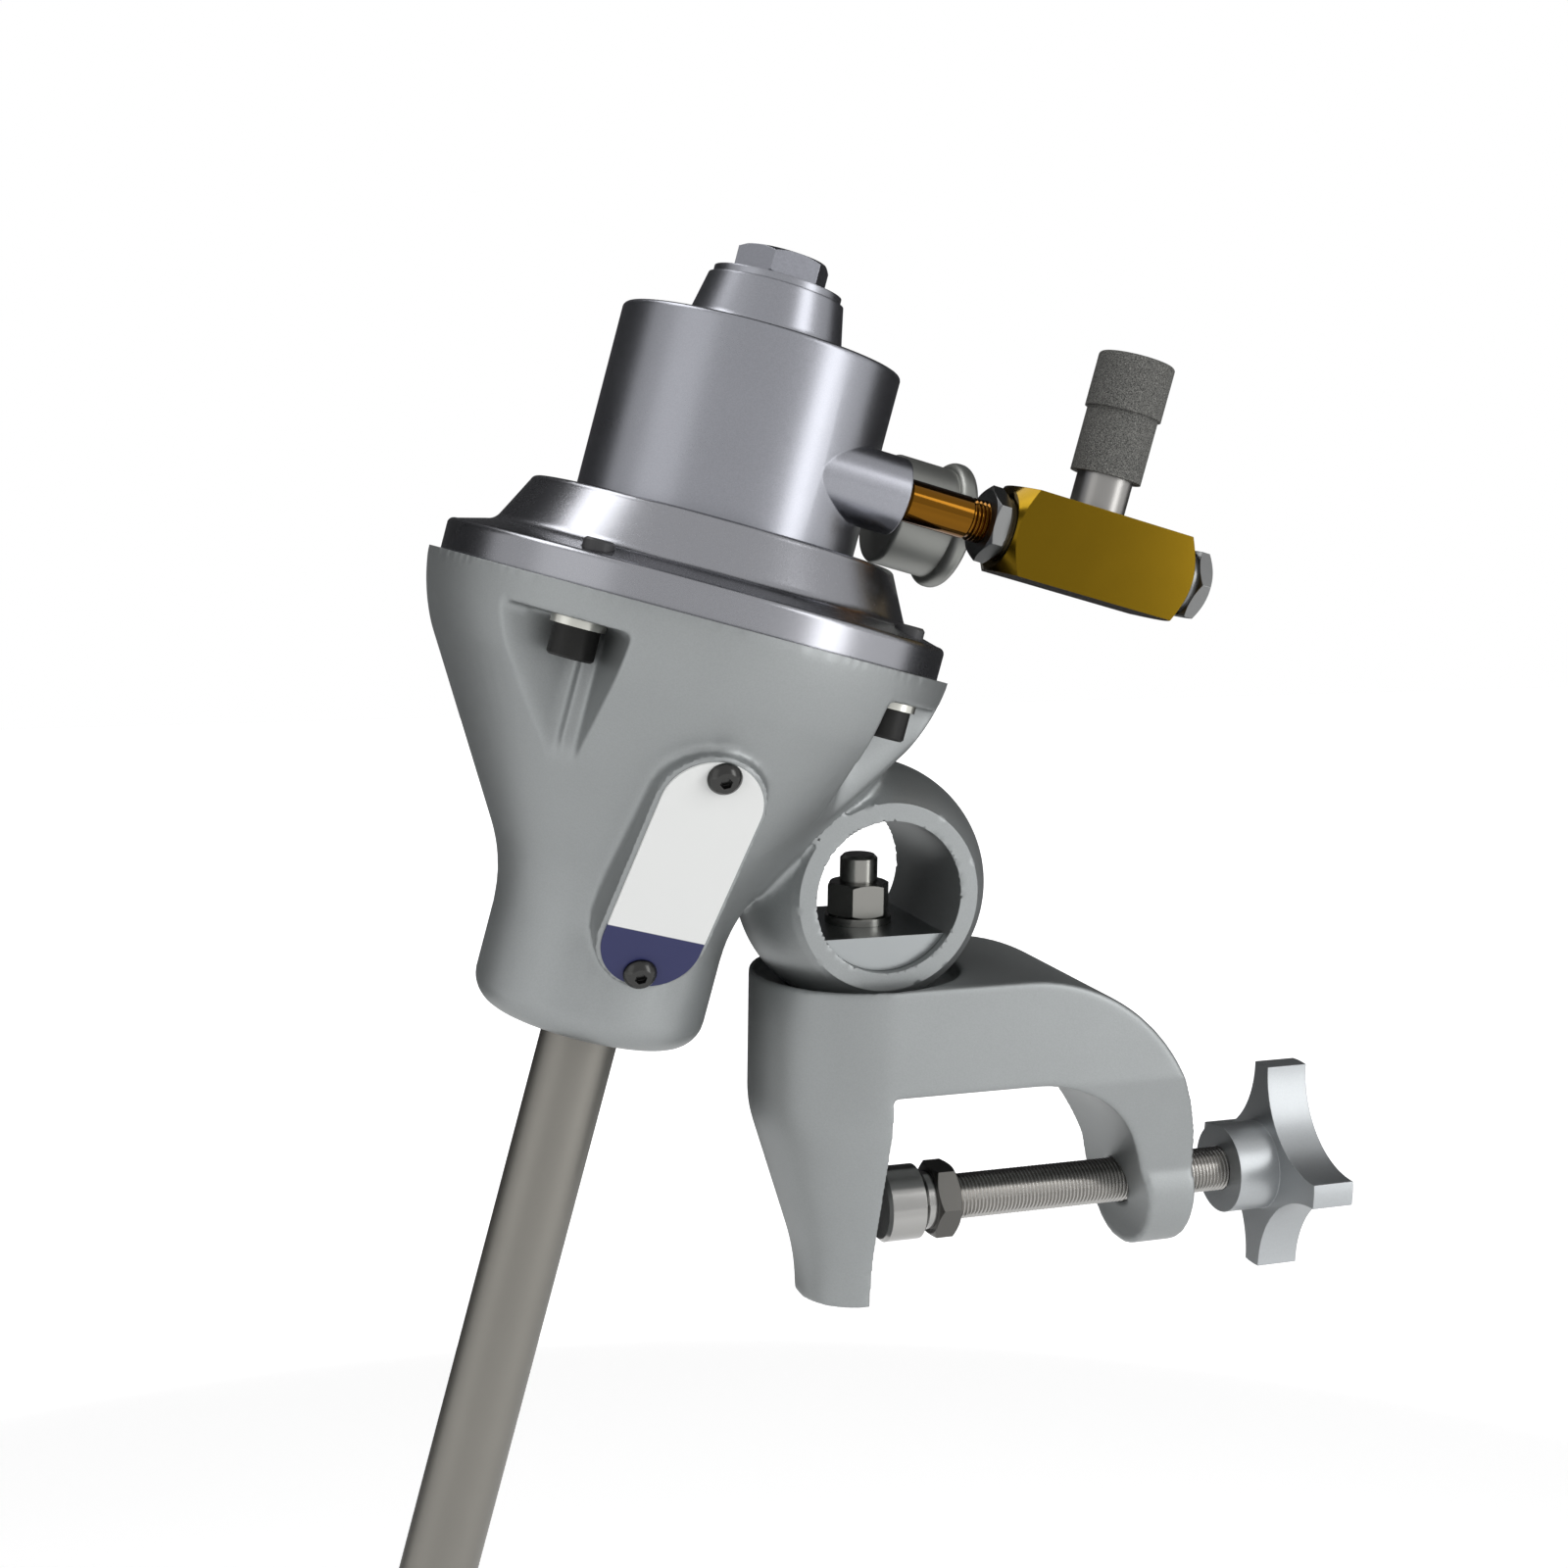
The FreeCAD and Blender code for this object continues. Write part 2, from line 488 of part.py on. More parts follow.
def mixer_housing():
    """Bell casting with the ball, four screw pockets, the nameplate's land and the shaft's bores."""
    body = new_body("mixer_housing")
    ball = body.newObject("PartDesign::AdditiveSphere", "ball")
    bind(ball, "Radius", "sizes.ball_radius")
    bind(ball, "Placement", sheet(inset(x="ball_reach", z="-ball_drop")))
    done(body, ball)
    reach = "ball_radius + cut_past"
    for side, sign in (("front", "-"), ("back", "")):
        near = sign + "ball_width / 2"
        far = "%s(%s)" % (sign, reach)
        corners = [("ball_reach - (%s)" % reach, near), ("ball_reach + (%s)" % reach, near),
                   ("ball_reach + (%s)" % reach, far), ("ball_reach - (%s)" % reach, far)]
        draft = outline(body, side + "_flat_area", "XY_Plane", corners, lift="-ball_drop")
        pocket(body, side + "_flat", draft, "2 * (%s)" % reach, both=True)
    curve_out = "foot_radius + waist_curve * (1 - cos(waist_slope))"
    curve_up = "-foot_top_drop + waist_curve * sin(waist_slope)"
    turned(body, "bell",
           [("0", "0"), ("rim_radius", "0"), ("shoulder_radius", "-shoulder_drop"), (curve_out, curve_up),
            ("foot_radius", "-foot_top_drop"), ("foot_radius", "foot_round - housing_length"),
            ("foot_radius - foot_round", "-housing_length"), ("0", "-housing_length")],
           {1: "-shoulder_bulge", 3: "waist_curve", 5: "-foot_round"})
    half = "(plate_half_width + land_margin)"
    draft = outline(body, "land_outline", "XZ_Plane",
                    [(half, "-plate_half_span"), (half, "plate_half_span"), ("0", "plate_half_span + " + half),
                     ("-" + half, "plate_half_span"), ("-" + half, "-plate_half_span"),
                     ("0", "-plate_half_span - " + half)],
                    {1: half, 2: half, 4: half, 5: half},
                    lift="plate_middle_out", rise="-plate_middle_drop", turn="plate_tilt")
    pad(body, "nameplate_land", draft, "land_depth", back=True)
    spread = "pocket_spread"
    far = "(rim_radius + cut_past)"
    corners = [("rib_reach", "-rib_half_width"), ("pocket_apex + rib_half_width / " + spread, "-rib_half_width"),
               (far, "-(%s - pocket_apex) * %s" % (far, spread)), (far, "(%s - pocket_apex) * %s" % (far, spread)),
               ("pocket_apex + rib_half_width / " + spread, "rib_half_width"), ("rib_reach", "rib_half_width")]
    wedge = outline(body, "pocket_plan", "XY_Plane", corners, lift="-pocket_drop", spin="bolt_angle")
    first = pocket(body, "screw_pocket", wedge, "pocket_depth")
    around(body, "screw_pockets", [first], wedge, "bolt_count", cuts=True)
    draft = circles(body, "rim_hole_circle", "XY_Plane", [("bolt_circle", "0", "bolt_radius + bolt_gap")],
                    spin="bolt_angle")
    first = pocket(body, "rim_hole", draft, "pocket_drop")
    around(body, "rim_holes", [first], draft, "bolt_count", cuts=True)
    pilot = "pilot_radius + pilot_gap"
    upper = "-(upper_shaft_bearing + shaft_bearing_height)"
    low = "-" + LOWER_BEARING
    lower = low + " + shaft_bearing_height"
    groove = "shaft_bearing_radius + retainer_bite"
    turned(body, "cavity",
           [("0", "0"), (pilot, "0"), (pilot, "-pilot_height"), ("chamber_radius", "-pilot_height"),
            ("chamber_radius", "-chamber_depth"), ("shaft_bearing_radius", "-chamber_depth"),
            ("shaft_bearing_radius", upper), ("bearing_shoulder", upper), ("bearing_shoulder", lower),
            ("shaft_bearing_radius", lower), ("shaft_bearing_radius", low), (groove, low),
            (groove, low + " - retainer_height"), ("shaft_bearing_radius", low + " - retainer_height"),
            ("shaft_bearing_radius", "-housing_length"), ("0", "-housing_length")], cuts=True)
    draft = circles(body, "ball_bore_circle", "XZ_Plane", [("ball_reach", "-ball_drop", "ball_bore_radius")])
    pocket(body, "ball_bore", draft, "ball_width", both=True)
    wide = "stud_radius + slot_gap"
    far = "(ball_radius + cut_past)"
    corners = []
    for out, sign in (("0", "-"), (far, "-"), (far, ""), ("0", "")):
        side = "%s((%s) * tan(tilt_range) + (%s) / cos(tilt_range))" % (sign, out, wide)
        corners.append(("ball_reach + (%s) * sin(head_tilt) + %s * cos(head_tilt)" % (out, side),
                        "-ball_drop - (%s) * cos(head_tilt) + %s * sin(head_tilt)" % (out, side)))
    draft = outline(body, "stud_slot_area", "XZ_Plane", corners)
    pocket(body, "stud_slot", draft, "2 * (%s)" % wide, both=True)
    draft = circles(body, "plate_hole_circles", "XZ_Plane",
                    [("0", "plate_screw_span", "plate_screw_radius + thread_gap"),
                     ("0", "-plate_screw_span", "plate_screw_radius + thread_gap")],
                    lift="plate_middle_out", rise="-plate_middle_drop", turn="plate_tilt")
    pocket(body, "plate_holes", draft, "plate_screw_length - plate_thick")
    return seat(body, HEAD)


def nameplate_group():
    """Bare plate on the housing's land and its two button screws."""
    plate = new_body("nameplate")
    half = "plate_half_width"
    draft = outline(plate, "plate_outline", "XY_Plane",
                    [(half, "-plate_half_span"), (half, "plate_half_span"), ("0", "plate_half_span + " + half),
                     ("-" + half, "plate_half_span"), ("-" + half, "-plate_half_span"),
                     ("0", "-plate_half_span - " + half)], {1: half, 2: half, 4: half, 5: half})
    pad(plate, "sheet", draft, "plate_thick")
    spots = [("0", "plate_screw_span", "plate_screw_radius + thread_gap"),
             ("0", "-plate_screw_span", "plate_screw_radius + thread_gap")]
    draft = circles(plate, "hole_circles", "XY_Plane", spots)
    pocket(plate, "holes", draft, "plate_thick", ahead=True)
    seat(plate, PLATE)
    screws = new_body("nameplate_screws")
    tip = "plate_thick - plate_screw_length"
    top = "plate_thick + button_height"
    profile = [("plate_screw_span", tip), ("plate_screw_span + plate_screw_radius", tip),
               ("plate_screw_span + plate_screw_radius", "plate_thick"),
               ("plate_screw_span + button_radius", "plate_thick"),
               ("plate_screw_span + button_radius", "plate_thick + button_rim"),
               ("plate_screw_span + button_socket", top), ("plate_screw_span", top)]
    first = turned(screws, "screw", profile, {4: "button_radius"}, axis_at="plate_screw_span")
    draft = hexagon(screws, "socket_area", "XY_Plane", "button_socket", x="plate_screw_span", lift=top)
    socket = pocket(screws, "socket", draft, "button_socket_depth")
    around(screws, "pair", [first, socket], draft, "2")
    seat(screws, PLATE + " * " + inset(angle="90"))


def flange_bolts():
    """Socket screws that hold the end plate on the housing, and their washers."""
    screws = new_body("flange_screws")
    head_top = "-pocket_drop - flange_washer_thick"
    head_low = head_top + " - cap_head_height"
    tip = "ring_rise + bolt_tip_rise"
    profile = [("bolt_circle", head_low), ("bolt_circle + cap_head_radius - cap_head_chamfer", head_low),
               ("bolt_circle + cap_head_radius", head_low + " + cap_head_chamfer"),
               ("bolt_circle + cap_head_radius", head_top), ("bolt_circle + bolt_radius", head_top),
               ("bolt_circle + bolt_radius", tip + " - bolt_tip_chamfer"),
               ("bolt_circle + bolt_radius - bolt_tip_chamfer", tip), ("bolt_circle", tip)]
    first = turned(screws, "screw", profile, axis_at="bolt_circle")
    draft = hexagon(screws, "socket_area", "XY_Plane", "cap_socket", x="bolt_circle", lift=head_low)
    socket = pocket(screws, "socket", draft, "cap_socket_depth", ahead=True)
    around(screws, "all_screws", [first, socket], draft, "bolt_count")
    seat(screws, BOLTS)
    washers = new_body("flange_washers")
    spots = [("bolt_circle", "0", "flange_washer_radius"), ("bolt_circle", "0", "bolt_radius + thread_gap")]
    draft = circles(washers, "washer_circles", "XY_Plane", spots, lift="-pocket_drop")
    first = pad(washers, "washer", draft, "flange_washer_thick", back=True)
    around(washers, "all_washers", [first], draft, "bolt_count")
    seat(washers, BOLTS)


def drive_end_plate():
    """Flanged dome between the housing and the motor, with the motor's lower bearing seat."""
    body = new_body("drive_end_plate")
    turned(body, "dome",
           [("0", "-pilot_height"), ("pilot_radius", "-pilot_height"), ("pilot_radius", "0"),
            ("flange_radius", "0"), ("flange_radius", "flange_edge"), ("flange_lip", "flange_top"),
            ("ring_inner", "ring_rise"), ("dome_base", "dome_base_rise"), ("dome_radius", "dome_shoulder"),
            ("dome_top_radius", "dome_top"), ("0", "dome_top")],
           {4: "flange_round", 6: "-dome_fillet", 8: "dome_round"})
    seat_top = "low_bearing_base + low_bearing_height"
    turned(body, "bearing_seat",
           [("0", "-pilot_height"), ("low_bearing_radius", "-pilot_height"), ("low_bearing_radius", seat_top),
            ("motor_shaft_radius + running_gap", seat_top), ("motor_shaft_radius + running_gap", "dome_top"),
            ("0", "dome_top")], cuts=True)
    draft = circles(body, "bolt_hole_circle", "XY_Plane", [("bolt_circle", "0", "bolt_radius + thread_gap")],
                    spin="bolt_angle")
    first = pocket(body, "bolt_hole", draft, "dome_base_rise", ahead=True)
    around(body, "bolt_holes", [first], draft, "bolt_count", cuts=True)
    draft = circles(body, "recess_circle", "XY_Plane",
                    [("casing_screw_circle", "0", "casing_screw_head + head_gap")],
                    lift="-pilot_height", spin="bolt_angle")
    first = pocket(body, "screw_recess", draft, "pilot_height + casing_screw_base", ahead=True)
    around(body, "screw_recesses", [first], draft, "casing_screw_count", cuts=True)
    draft = circles(body, "casing_hole_circle", "XY_Plane",
                    [("casing_screw_circle", "0", "casing_screw_radius + thread_gap")],
                    lift="-pilot_height", spin="bolt_angle")
    first = pocket(body, "casing_hole", draft, "pilot_height + dome_top", ahead=True)
    around(body, "casing_holes", [first], draft, "casing_screw_count", cuts=True)
    return seat(body, HEAD)


def motor_casing():
    """Round casing with a collar on top, two port bosses and the eccentric rotor chamber."""
    body = new_body("motor_casing")
    turned(body, "barrel",
           [("0", "dome_top"), ("casing_radius", "dome_top"), ("casing_radius", "casing_top - casing_round"),
            ("casing_radius - casing_round", "casing_top"), ("collar_base", "casing_top"),
            ("collar_radius", "collar_rise"), ("collar_top_radius", "collar_top"), ("0", "collar_top")],
           {2: "casing_round", 4: "-collar_fillet"})
    spots = [("port_spread", "port_rise", "port_boss_radius"), ("-port_spread", "port_rise", "port_boss_radius")]
    draft = circles(body, "boss_circles", "YZ_Plane", spots, lift="port_boss_start")
    pad(body, "port_bosses", draft, "port_boss_end - port_boss_start")
    bearing_top = "top_bearing_base + top_bearing_height"
    turned(body, "bearing_seat",
           [("0", "dome_top"), ("top_bearing_radius", "dome_top"), ("top_bearing_radius", bearing_top),
            ("0", bearing_top)], cuts=True)
    draft = circles(body, "chamber_circle", "XY_Plane", [("rotor_offset", "0", "rotor_chamber")], lift="dome_top")
    pocket(body, "chamber", draft, "rotor_chamber_top - dome_top", ahead=True)
    turned(body, "plug_hole",
           [("0", "collar_top + seal_thick - plug_depth"),
            ("plug_stem + thread_gap", "collar_top + seal_thick - plug_depth"),
            ("plug_stem + thread_gap", "collar_top"), ("0", "collar_top")], cuts=True)
    spots = [("port_spread", "port_rise", "nipple_radius + thread_gap"),
             ("-port_spread", "port_rise", "nipple_radius + thread_gap")]
    draft = circles(body, "port_circles", "YZ_Plane", spots, lift="port_boss_end")
    pocket(body, "ports", draft, "port_hole_depth")
    spots = [("port_spread", "port_rise", "port_way"), ("-port_spread", "port_rise", "port_way")]
    draft = circles(body, "way_circles", "YZ_Plane", spots, lift="port_boss_end")
    pocket(body, "air_ways", draft, "port_boss_end - port_way")
    draft = circles(body, "screw_hole_circle", "XY_Plane",
                    [("casing_screw_circle", "0", "casing_screw_radius + thread_gap")],
                    lift="dome_top", spin="bolt_angle")
    first = pocket(body, "screw_hole", draft, "casing_screw_base + casing_screw_length - dome_top", ahead=True)
    around(body, "screw_holes", [first], draft, "casing_screw_count", cuts=True)
    seat(body, HEAD)
    screws = new_body("casing_screws")
    low = "casing_screw_base - casing_screw_head_height"
    tip = "casing_screw_base + casing_screw_length"
    profile = [("casing_screw_circle", low), ("casing_screw_circle + casing_screw_head", low),
               ("casing_screw_circle + casing_screw_head", "casing_screw_base"),
               ("casing_screw_circle + casing_screw_radius", "casing_screw_base"),
               ("casing_screw_circle + casing_screw_radius", tip), ("casing_screw_circle", tip)]
    first = turned(screws, "screw", profile, axis_at="casing_screw_circle")
    draft = hexagon(screws, "socket_area", "XY_Plane", "casing_screw_socket", x="casing_screw_circle", lift=low)
    socket = pocket(screws, "socket", draft, "casing_screw_socket_depth", ahead=True)
    around(screws, "all_screws", [first, socket], draft, "casing_screw_count")
    seat(screws, BOLTS)


def top_plug():
    """Sealing washer and hexagon plug on the collar."""
    top = "collar_top + seal_thick"
    seat(ring("boss_washer", "seal_radius", "plug_stem + thread_gap", "collar_top", top), HEAD)
    plug = new_body("boss_plug")
    draft = hexagon(plug, "flats", "XY_Plane", "plug_flats", lift=top)
    pad(plug, "hexagon", draft, "plug_height")
    bevel_hexagon(plug, "bevel", "plug_flats", [(top, "+"), (top + " + plug_height", "-")])
    draft = circles(plug, "stem_circle", "XY_Plane", [("0", "0", "plug_stem")], lift=top)
    pad(plug, "stem", draft, "plug_depth", back=True)
    seat(plug, HEAD)


def motor_internals():
    """Rotor with its shaft, sliding vanes and the motor's two bearings."""
    rotor = new_body("rotor")
    low = "dome_top + end_gap"
    high = "rotor_chamber_top - end_gap"
    turned(rotor, "drum", [("0", low), ("rotor_radius", low), ("rotor_radius", high), ("0", high)])
    half = "(vane_thick / 2 + vane_gap)"
    inner = "rotor_radius - vane_depth"
    corners = [(inner, "-" + half), ("rotor_radius + cut_past", "-" + half),
               ("rotor_radius + cut_past", half), (inner, half)]
    slot = outline(rotor, "slot_area", "XY_Plane", corners, lift=low)
    first = pocket(rotor, "slot", slot, "%s - (%s)" % (high, low), ahead=True)
    around(rotor, "slots", [first], slot, "vane_count", cuts=True)
    bearing_top = "top_bearing_base + top_bearing_height"
    turned(rotor, "shaft",
           [("0", "-motor_shaft_end"), ("motor_shaft_radius", "-motor_shaft_end"),
            ("motor_shaft_radius", bearing_top), ("0", bearing_top)])
    seat(rotor, HEAD)
    vanes = new_body("vanes")
    half = "vane_thick / 2"
    outer = "rotor_radius + vane_rise"
    corners = [(inner, "-" + half), (outer, "-" + half), (outer, half), (inner, half)]
    draft = outline(vanes, "vane_area", "XY_Plane", corners, lift=low)
    first = pad(vanes, "vane", draft, "%s - (%s)" % (high, low))
    around(vanes, "all_vanes", [first], draft, "vane_count")
    seat(vanes, HEAD)
    bore = "motor_shaft_radius + running_gap"
    seat(ring("upper_motor_bearing", "top_bearing_radius", bore, "top_bearing_base", bearing_top), HEAD)
    seat(ring("lower_motor_bearing", "low_bearing_radius", bore, "low_bearing_base",
              "low_bearing_base + low_bearing_height"), HEAD)


def shaft_group():
    """Coupling, mixing shaft, its bearings, retaining ring and lip seal."""
    coupling = new_body("shaft_coupling")
    top = "-coupling_top"
    low = "-coupling_top - coupling_length"
    middle = "-(motor_shaft_end + shaft_top) / 2"
    turned(coupling, "sleeve",
           [("motor_shaft_radius + thread_gap", top), ("motor_shaft_radius + thread_gap", middle),
            ("shaft_radius + thread_gap", middle), ("shaft_radius + thread_gap", low),
            ("coupling_radius", low), ("coupling_radius", top)])
    spots = [("0", top + " - coupling_screw_inset", "coupling_screw_radius + thread_gap"),
             ("0", low + " + coupling_screw_inset", "coupling_screw_radius + thread_gap")]
    draft = circles(coupling, "screw_hole_circles", "YZ_Plane", spots)
    pocket(coupling, "screw_holes", draft, "coupling_radius + cut_past", ahead=True)
    seat(coupling, HEAD)
    screws = new_body("coupling_screws")
    for name, place, inner in (("upper", top + " - coupling_screw_inset", "motor_shaft_radius"),
                               ("lower", low + " + coupling_screw_inset", "shaft_radius")):
        draft = circles(screws, name + "_circle", "YZ_Plane", [("0", place, "coupling_screw_radius")], lift=inner)
        pad(screws, name, draft, "coupling_radius - " + inner)
    seat(screws, HEAD)
    shaft = new_body("mixing_shaft")
    top = "-shaft_top"
    turned(shaft, "bar",
           [("0", SHAFT_BOTTOM), ("shaft_radius - shaft_chamfer", SHAFT_BOTTOM),
            ("shaft_radius", SHAFT_BOTTOM + " + shaft_chamfer"), ("shaft_radius", top + " - shaft_chamfer"),
            ("shaft_radius - shaft_chamfer", top), ("0", top)])
    seat(shaft, HEAD)
    bore = "shaft_radius + running_gap"
    seat(ring("upper_shaft_bearing", "shaft_bearing_radius", bore,
              "-upper_shaft_bearing - shaft_bearing_height", "-upper_shaft_bearing"), HEAD)
    low = "-" + LOWER_BEARING
    seat(ring("lower_shaft_bearing", "shaft_bearing_radius", bore, low, low + " + shaft_bearing_height"), HEAD)
    seat(ring("bearing_retainer", "shaft_bearing_radius + retainer_bite", "retainer_inner",
              low + " - retainer_height", low), HEAD)
    seal = new_body("shaft_seal")
    low = "-housing_length"
    high = "-housing_length + seal_height"
    turned(seal, "ring",
           [(bore, low + " + seal_height / 3"), ("seal_lip_radius", low), ("shaft_bearing_radius", low),
            ("shaft_bearing_radius", high), (bore, high)])
    seat(seal, HEAD)


def impeller_group():
    """Three-bladed propeller: each blade is lofted through sections set at the helix angle."""
    body = new_body("impeller")
    top = HUB_BOTTOM + " + impeller_hub_length"
    hub = turned(body, "hub",
                 [("shaft_radius + thread_gap", HUB_BOTTOM), ("impeller_hub_radius - hub_round", HUB_BOTTOM),
                  ("impeller_hub_radius", HUB_BOTTOM + " + hub_round"),
                  ("impeller_hub_radius", top + " - hub_round"),
                  ("impeller_hub_radius - hub_round", top), ("shaft_radius + thread_gap", top)],
                 {1: "hub_round", 3: "hub_round"})
    sections = []
    for reach, chord, thick in (("blade_root", "blade_root_chord", "blade_root_thick"),
                                ("blade_low", "blade_low_chord", "blade_low_thick"),
                                ("blade_high", "blade_high_chord", "blade_high_thick"),
                                ("impeller_radius", "blade_tip_chord", "blade_tip_thick")):
        curve = "%s ^ 2 / (4 * %s) + %s / 4" % (chord, thick, thick)
        helix = "atan(blade_pitch / (2 * pi * %s))" % reach
        draft = outline(body, reach + "_section", "YZ_Plane",
                        [("-%s / 2" % chord, "0"), ("%s / 2" % chord, "0")], {0: curve, 1: curve},
                        lift=reach, rise=HUB_BOTTOM + " + impeller_hub_length / 2", spin=helix)
        sections.append(draft)
    blade = body.newObject("PartDesign::AdditiveLoft", "blade")
    blade.Profile = sections[0]
    blade.Sections = sections[1:]
    done(body, blade)
    around(body, "blades", [blade], hub.Profile[0], "blade_count", axis="V_Axis")
    level = top + " - hub_round - impeller_screw_radius"
    hole = circles(body, "screw_hole_circle", "XZ_Plane", [("0", level, "impeller_screw_radius + thread_gap")])
    pocket(body, "screw_hole", hole, "impeller_hub_radius + cut_past", ahead=True)
    seat(body, HEAD)
    screw = new_body("impeller_screw")
    draft = circles(screw, "screw_circle", "XZ_Plane", [("0", level, "impeller_screw_radius")],
                    lift="shaft_radius")
    pad(screw, "screw", draft, "impeller_hub_radius - shaft_radius")
    seat(screw, HEAD)


def tube(name, radius, bore, start, end):
    """Body with a pipe nipple along X."""
    return ring(name, radius, bore, start, end, about="H_Axis")


def air_inlet():
    """Nipple, lock nut and needle valve that the air hose screws into."""
    start = "port_boss_end - port_hole_depth"
    seat(tube("inlet_nipple", "nipple_radius", "nipple_bore", start, "nipple_end"), INLET)
    nut = new_body("lock_nut")
    draft = hexagon(nut, "flats", "YZ_Plane", "lock_nut_flats", first=30, lift="lock_nut_start")
    pad(nut, "hexagon", draft, "lock_nut_width")
    draft = circles(nut, "collar_circle", "YZ_Plane", [("0", "0", "lock_nut_collar")], lift="lock_nut_start")
    pad(nut, "collar", draft, "valve_start - lock_nut_start")
    end = "lock_nut_start + lock_nut_width"
    bevel_hexagon(nut, "bevel", "lock_nut_flats", [("lock_nut_start", "+"), (end, "-")], about="H_Axis")
    draft = circles(nut, "bore_circle", "YZ_Plane", [("0", "0", "nipple_radius + thread_gap")],
                    lift="lock_nut_start")
    pocket(nut, "bore", draft, "valve_start - lock_nut_start", ahead=True)
    seat(nut, INLET)
    body = new_body("valve_body")
    side = "valve_half_side"
    end = "valve_start + valve_length"
    corners = [("-" + side, "-" + side), (side, "-" + side), (side, side), ("-" + side, side)]
    draft = outline(body, "square", "YZ_Plane", corners, lift="valve_start")
    pad(body, "block", draft, "valve_length")
    corner = "valve_half_side * sqrt(2)"
    run = "valve_corner_in * (valve_reach - valve_end_radius) / (%s - valve_end_radius)" % corner
    for name, face, sign in (("near_end", "valve_start", "+"), ("far_end", end, "-")):
        turned(body, name, [(face, "valve_end_radius"), (face, "valve_reach"),
                            ("%s %s %s" % (face, sign, run), "valve_reach")], about="H_Axis", cuts=True)
    socket = end + " - inlet_stem_length"
    turned(body, "bores",
           [("valve_start", "0"), ("valve_start", "nipple_radius + thread_gap"),
            ("nipple_end", "nipple_radius + thread_gap"), ("nipple_end", "air_way"), (socket, "air_way"),
            (socket, "inlet_stem + thread_gap"), (end, "inlet_stem + thread_gap"), (end, "0")],
           about="H_Axis", cuts=True)
    draft = circles(body, "stem_circle", "XY_Plane", [("stem_place", "0", "needle_radius + running_gap")],
                    lift="valve_half_side")
    pocket(body, "stem_hole", draft, "valve_half_side + needle_seat")
    seat(body, INLET)
    bushing = new_body("inlet_bushing")
    flats_start = end + " + inlet_collar_length"
    mouth = end + " + inlet_length"
    draft = hexagon(bushing, "flats", "YZ_Plane", "inlet_flats", lift=flats_start)
    pad(bushing, "hexagon", draft, "inlet_length - inlet_collar_length")
    bevel_hexagon(bushing, "bevel", "inlet_flats", [(flats_start, "+"), (mouth, "-")], about="H_Axis")
    draft = circles(bushing, "collar_circle", "YZ_Plane", [("0", "0", "inlet_collar")], lift=end)
    pad(bushing, "collar", draft, "inlet_collar_length")
    draft = circles(bushing, "stem_circle", "YZ_Plane", [("0", "0", "inlet_stem")], lift=end)
    pad(bushing, "stem", draft, "inlet_stem_length", back=True)
    turned(bushing, "bore",
           [(socket, "0"), (socket, "air_way"), (mouth + " - inlet_depth", "air_way"),
            (mouth + " - inlet_depth", "inlet_bore"), (mouth, "inlet_bore"), (mouth, "0")],
           about="H_Axis", cuts=True)
    seat(bushing, INLET)


def needle_valve():
    """Bonnet on the valve block, the needle and the knob that turns it."""
    base = "port_rise + valve_half_side"
    seat(ring("valve_bonnet", "bonnet_radius", "needle_radius + running_gap", base,
              base + " + bonnet_rise"), STEM)
    needle = new_body("valve_needle")
    tip = "port_rise - needle_seat + needle_free"
    roof = "knob_top - knob_roof"
    turned(needle, "needle",
           [("0", tip), ("needle_tip", tip), ("needle_radius", tip + " + needle_cone"),
            ("needle_radius", roof), ("0", roof)])
    seat(needle, STEM)
    knob = new_body("valve_knob")
    inner = "bonnet_radius + knob_gap"
    turned(knob, "cap",
           [(inner, "knob_start"), ("knob_low_radius", "knob_start"), ("knob_low_radius", "knob_step"),
            ("knob_high_radius", "knob_step"), ("knob_high_radius", "knob_top - knob_round"),
            ("knob_high_radius - knob_round", "knob_top"), ("0", "knob_top"), ("0", roof), (inner, roof)],
           {4: "knob_round"})
    seat(knob, STEM)


def exhaust_group():
    """Nipple, muffler can with its rolled rim, and the felt inside."""
    start = "port_boss_end - port_hole_depth"
    seat(tube("exhaust_nipple", "nipple_radius", "nipple_bore", start, "exhaust_nipple_end"), EXHAUST)
    shell = new_body("muffler_shell")
    hole = "nipple_radius + thread_gap"
    inner = "muffler_radius - muffler_wall"
    wall = "muffler_start + muffler_wall"
    bead = "muffler_radius + bead_round"
    turned(shell, "can",
           [("muffler_start", hole), (wall, hole), (wall, inner), ("muffler_end", inner),
            ("muffler_end", "muffler_radius"), ("muffler_end - bead_round", bead),
            ("bead_start + bead_round", bead), ("bead_start", "muffler_radius"),
            ("muffler_start + can_round", "muffler_radius"), ("muffler_start", "muffler_radius - can_round")],
           {4: "bead_round", 6: "bead_round", 8: "can_round"}, about="H_Axis")
    seat(shell, EXHAUST)
    felt = new_body("muffler_element")
    turned(felt, "felt",
           [("felt_start", "0"), ("felt_end", "0"), ("felt_end", inner), ("felt_start", inner)],
           about="H_Axis")
    seat(felt, EXHAUST)


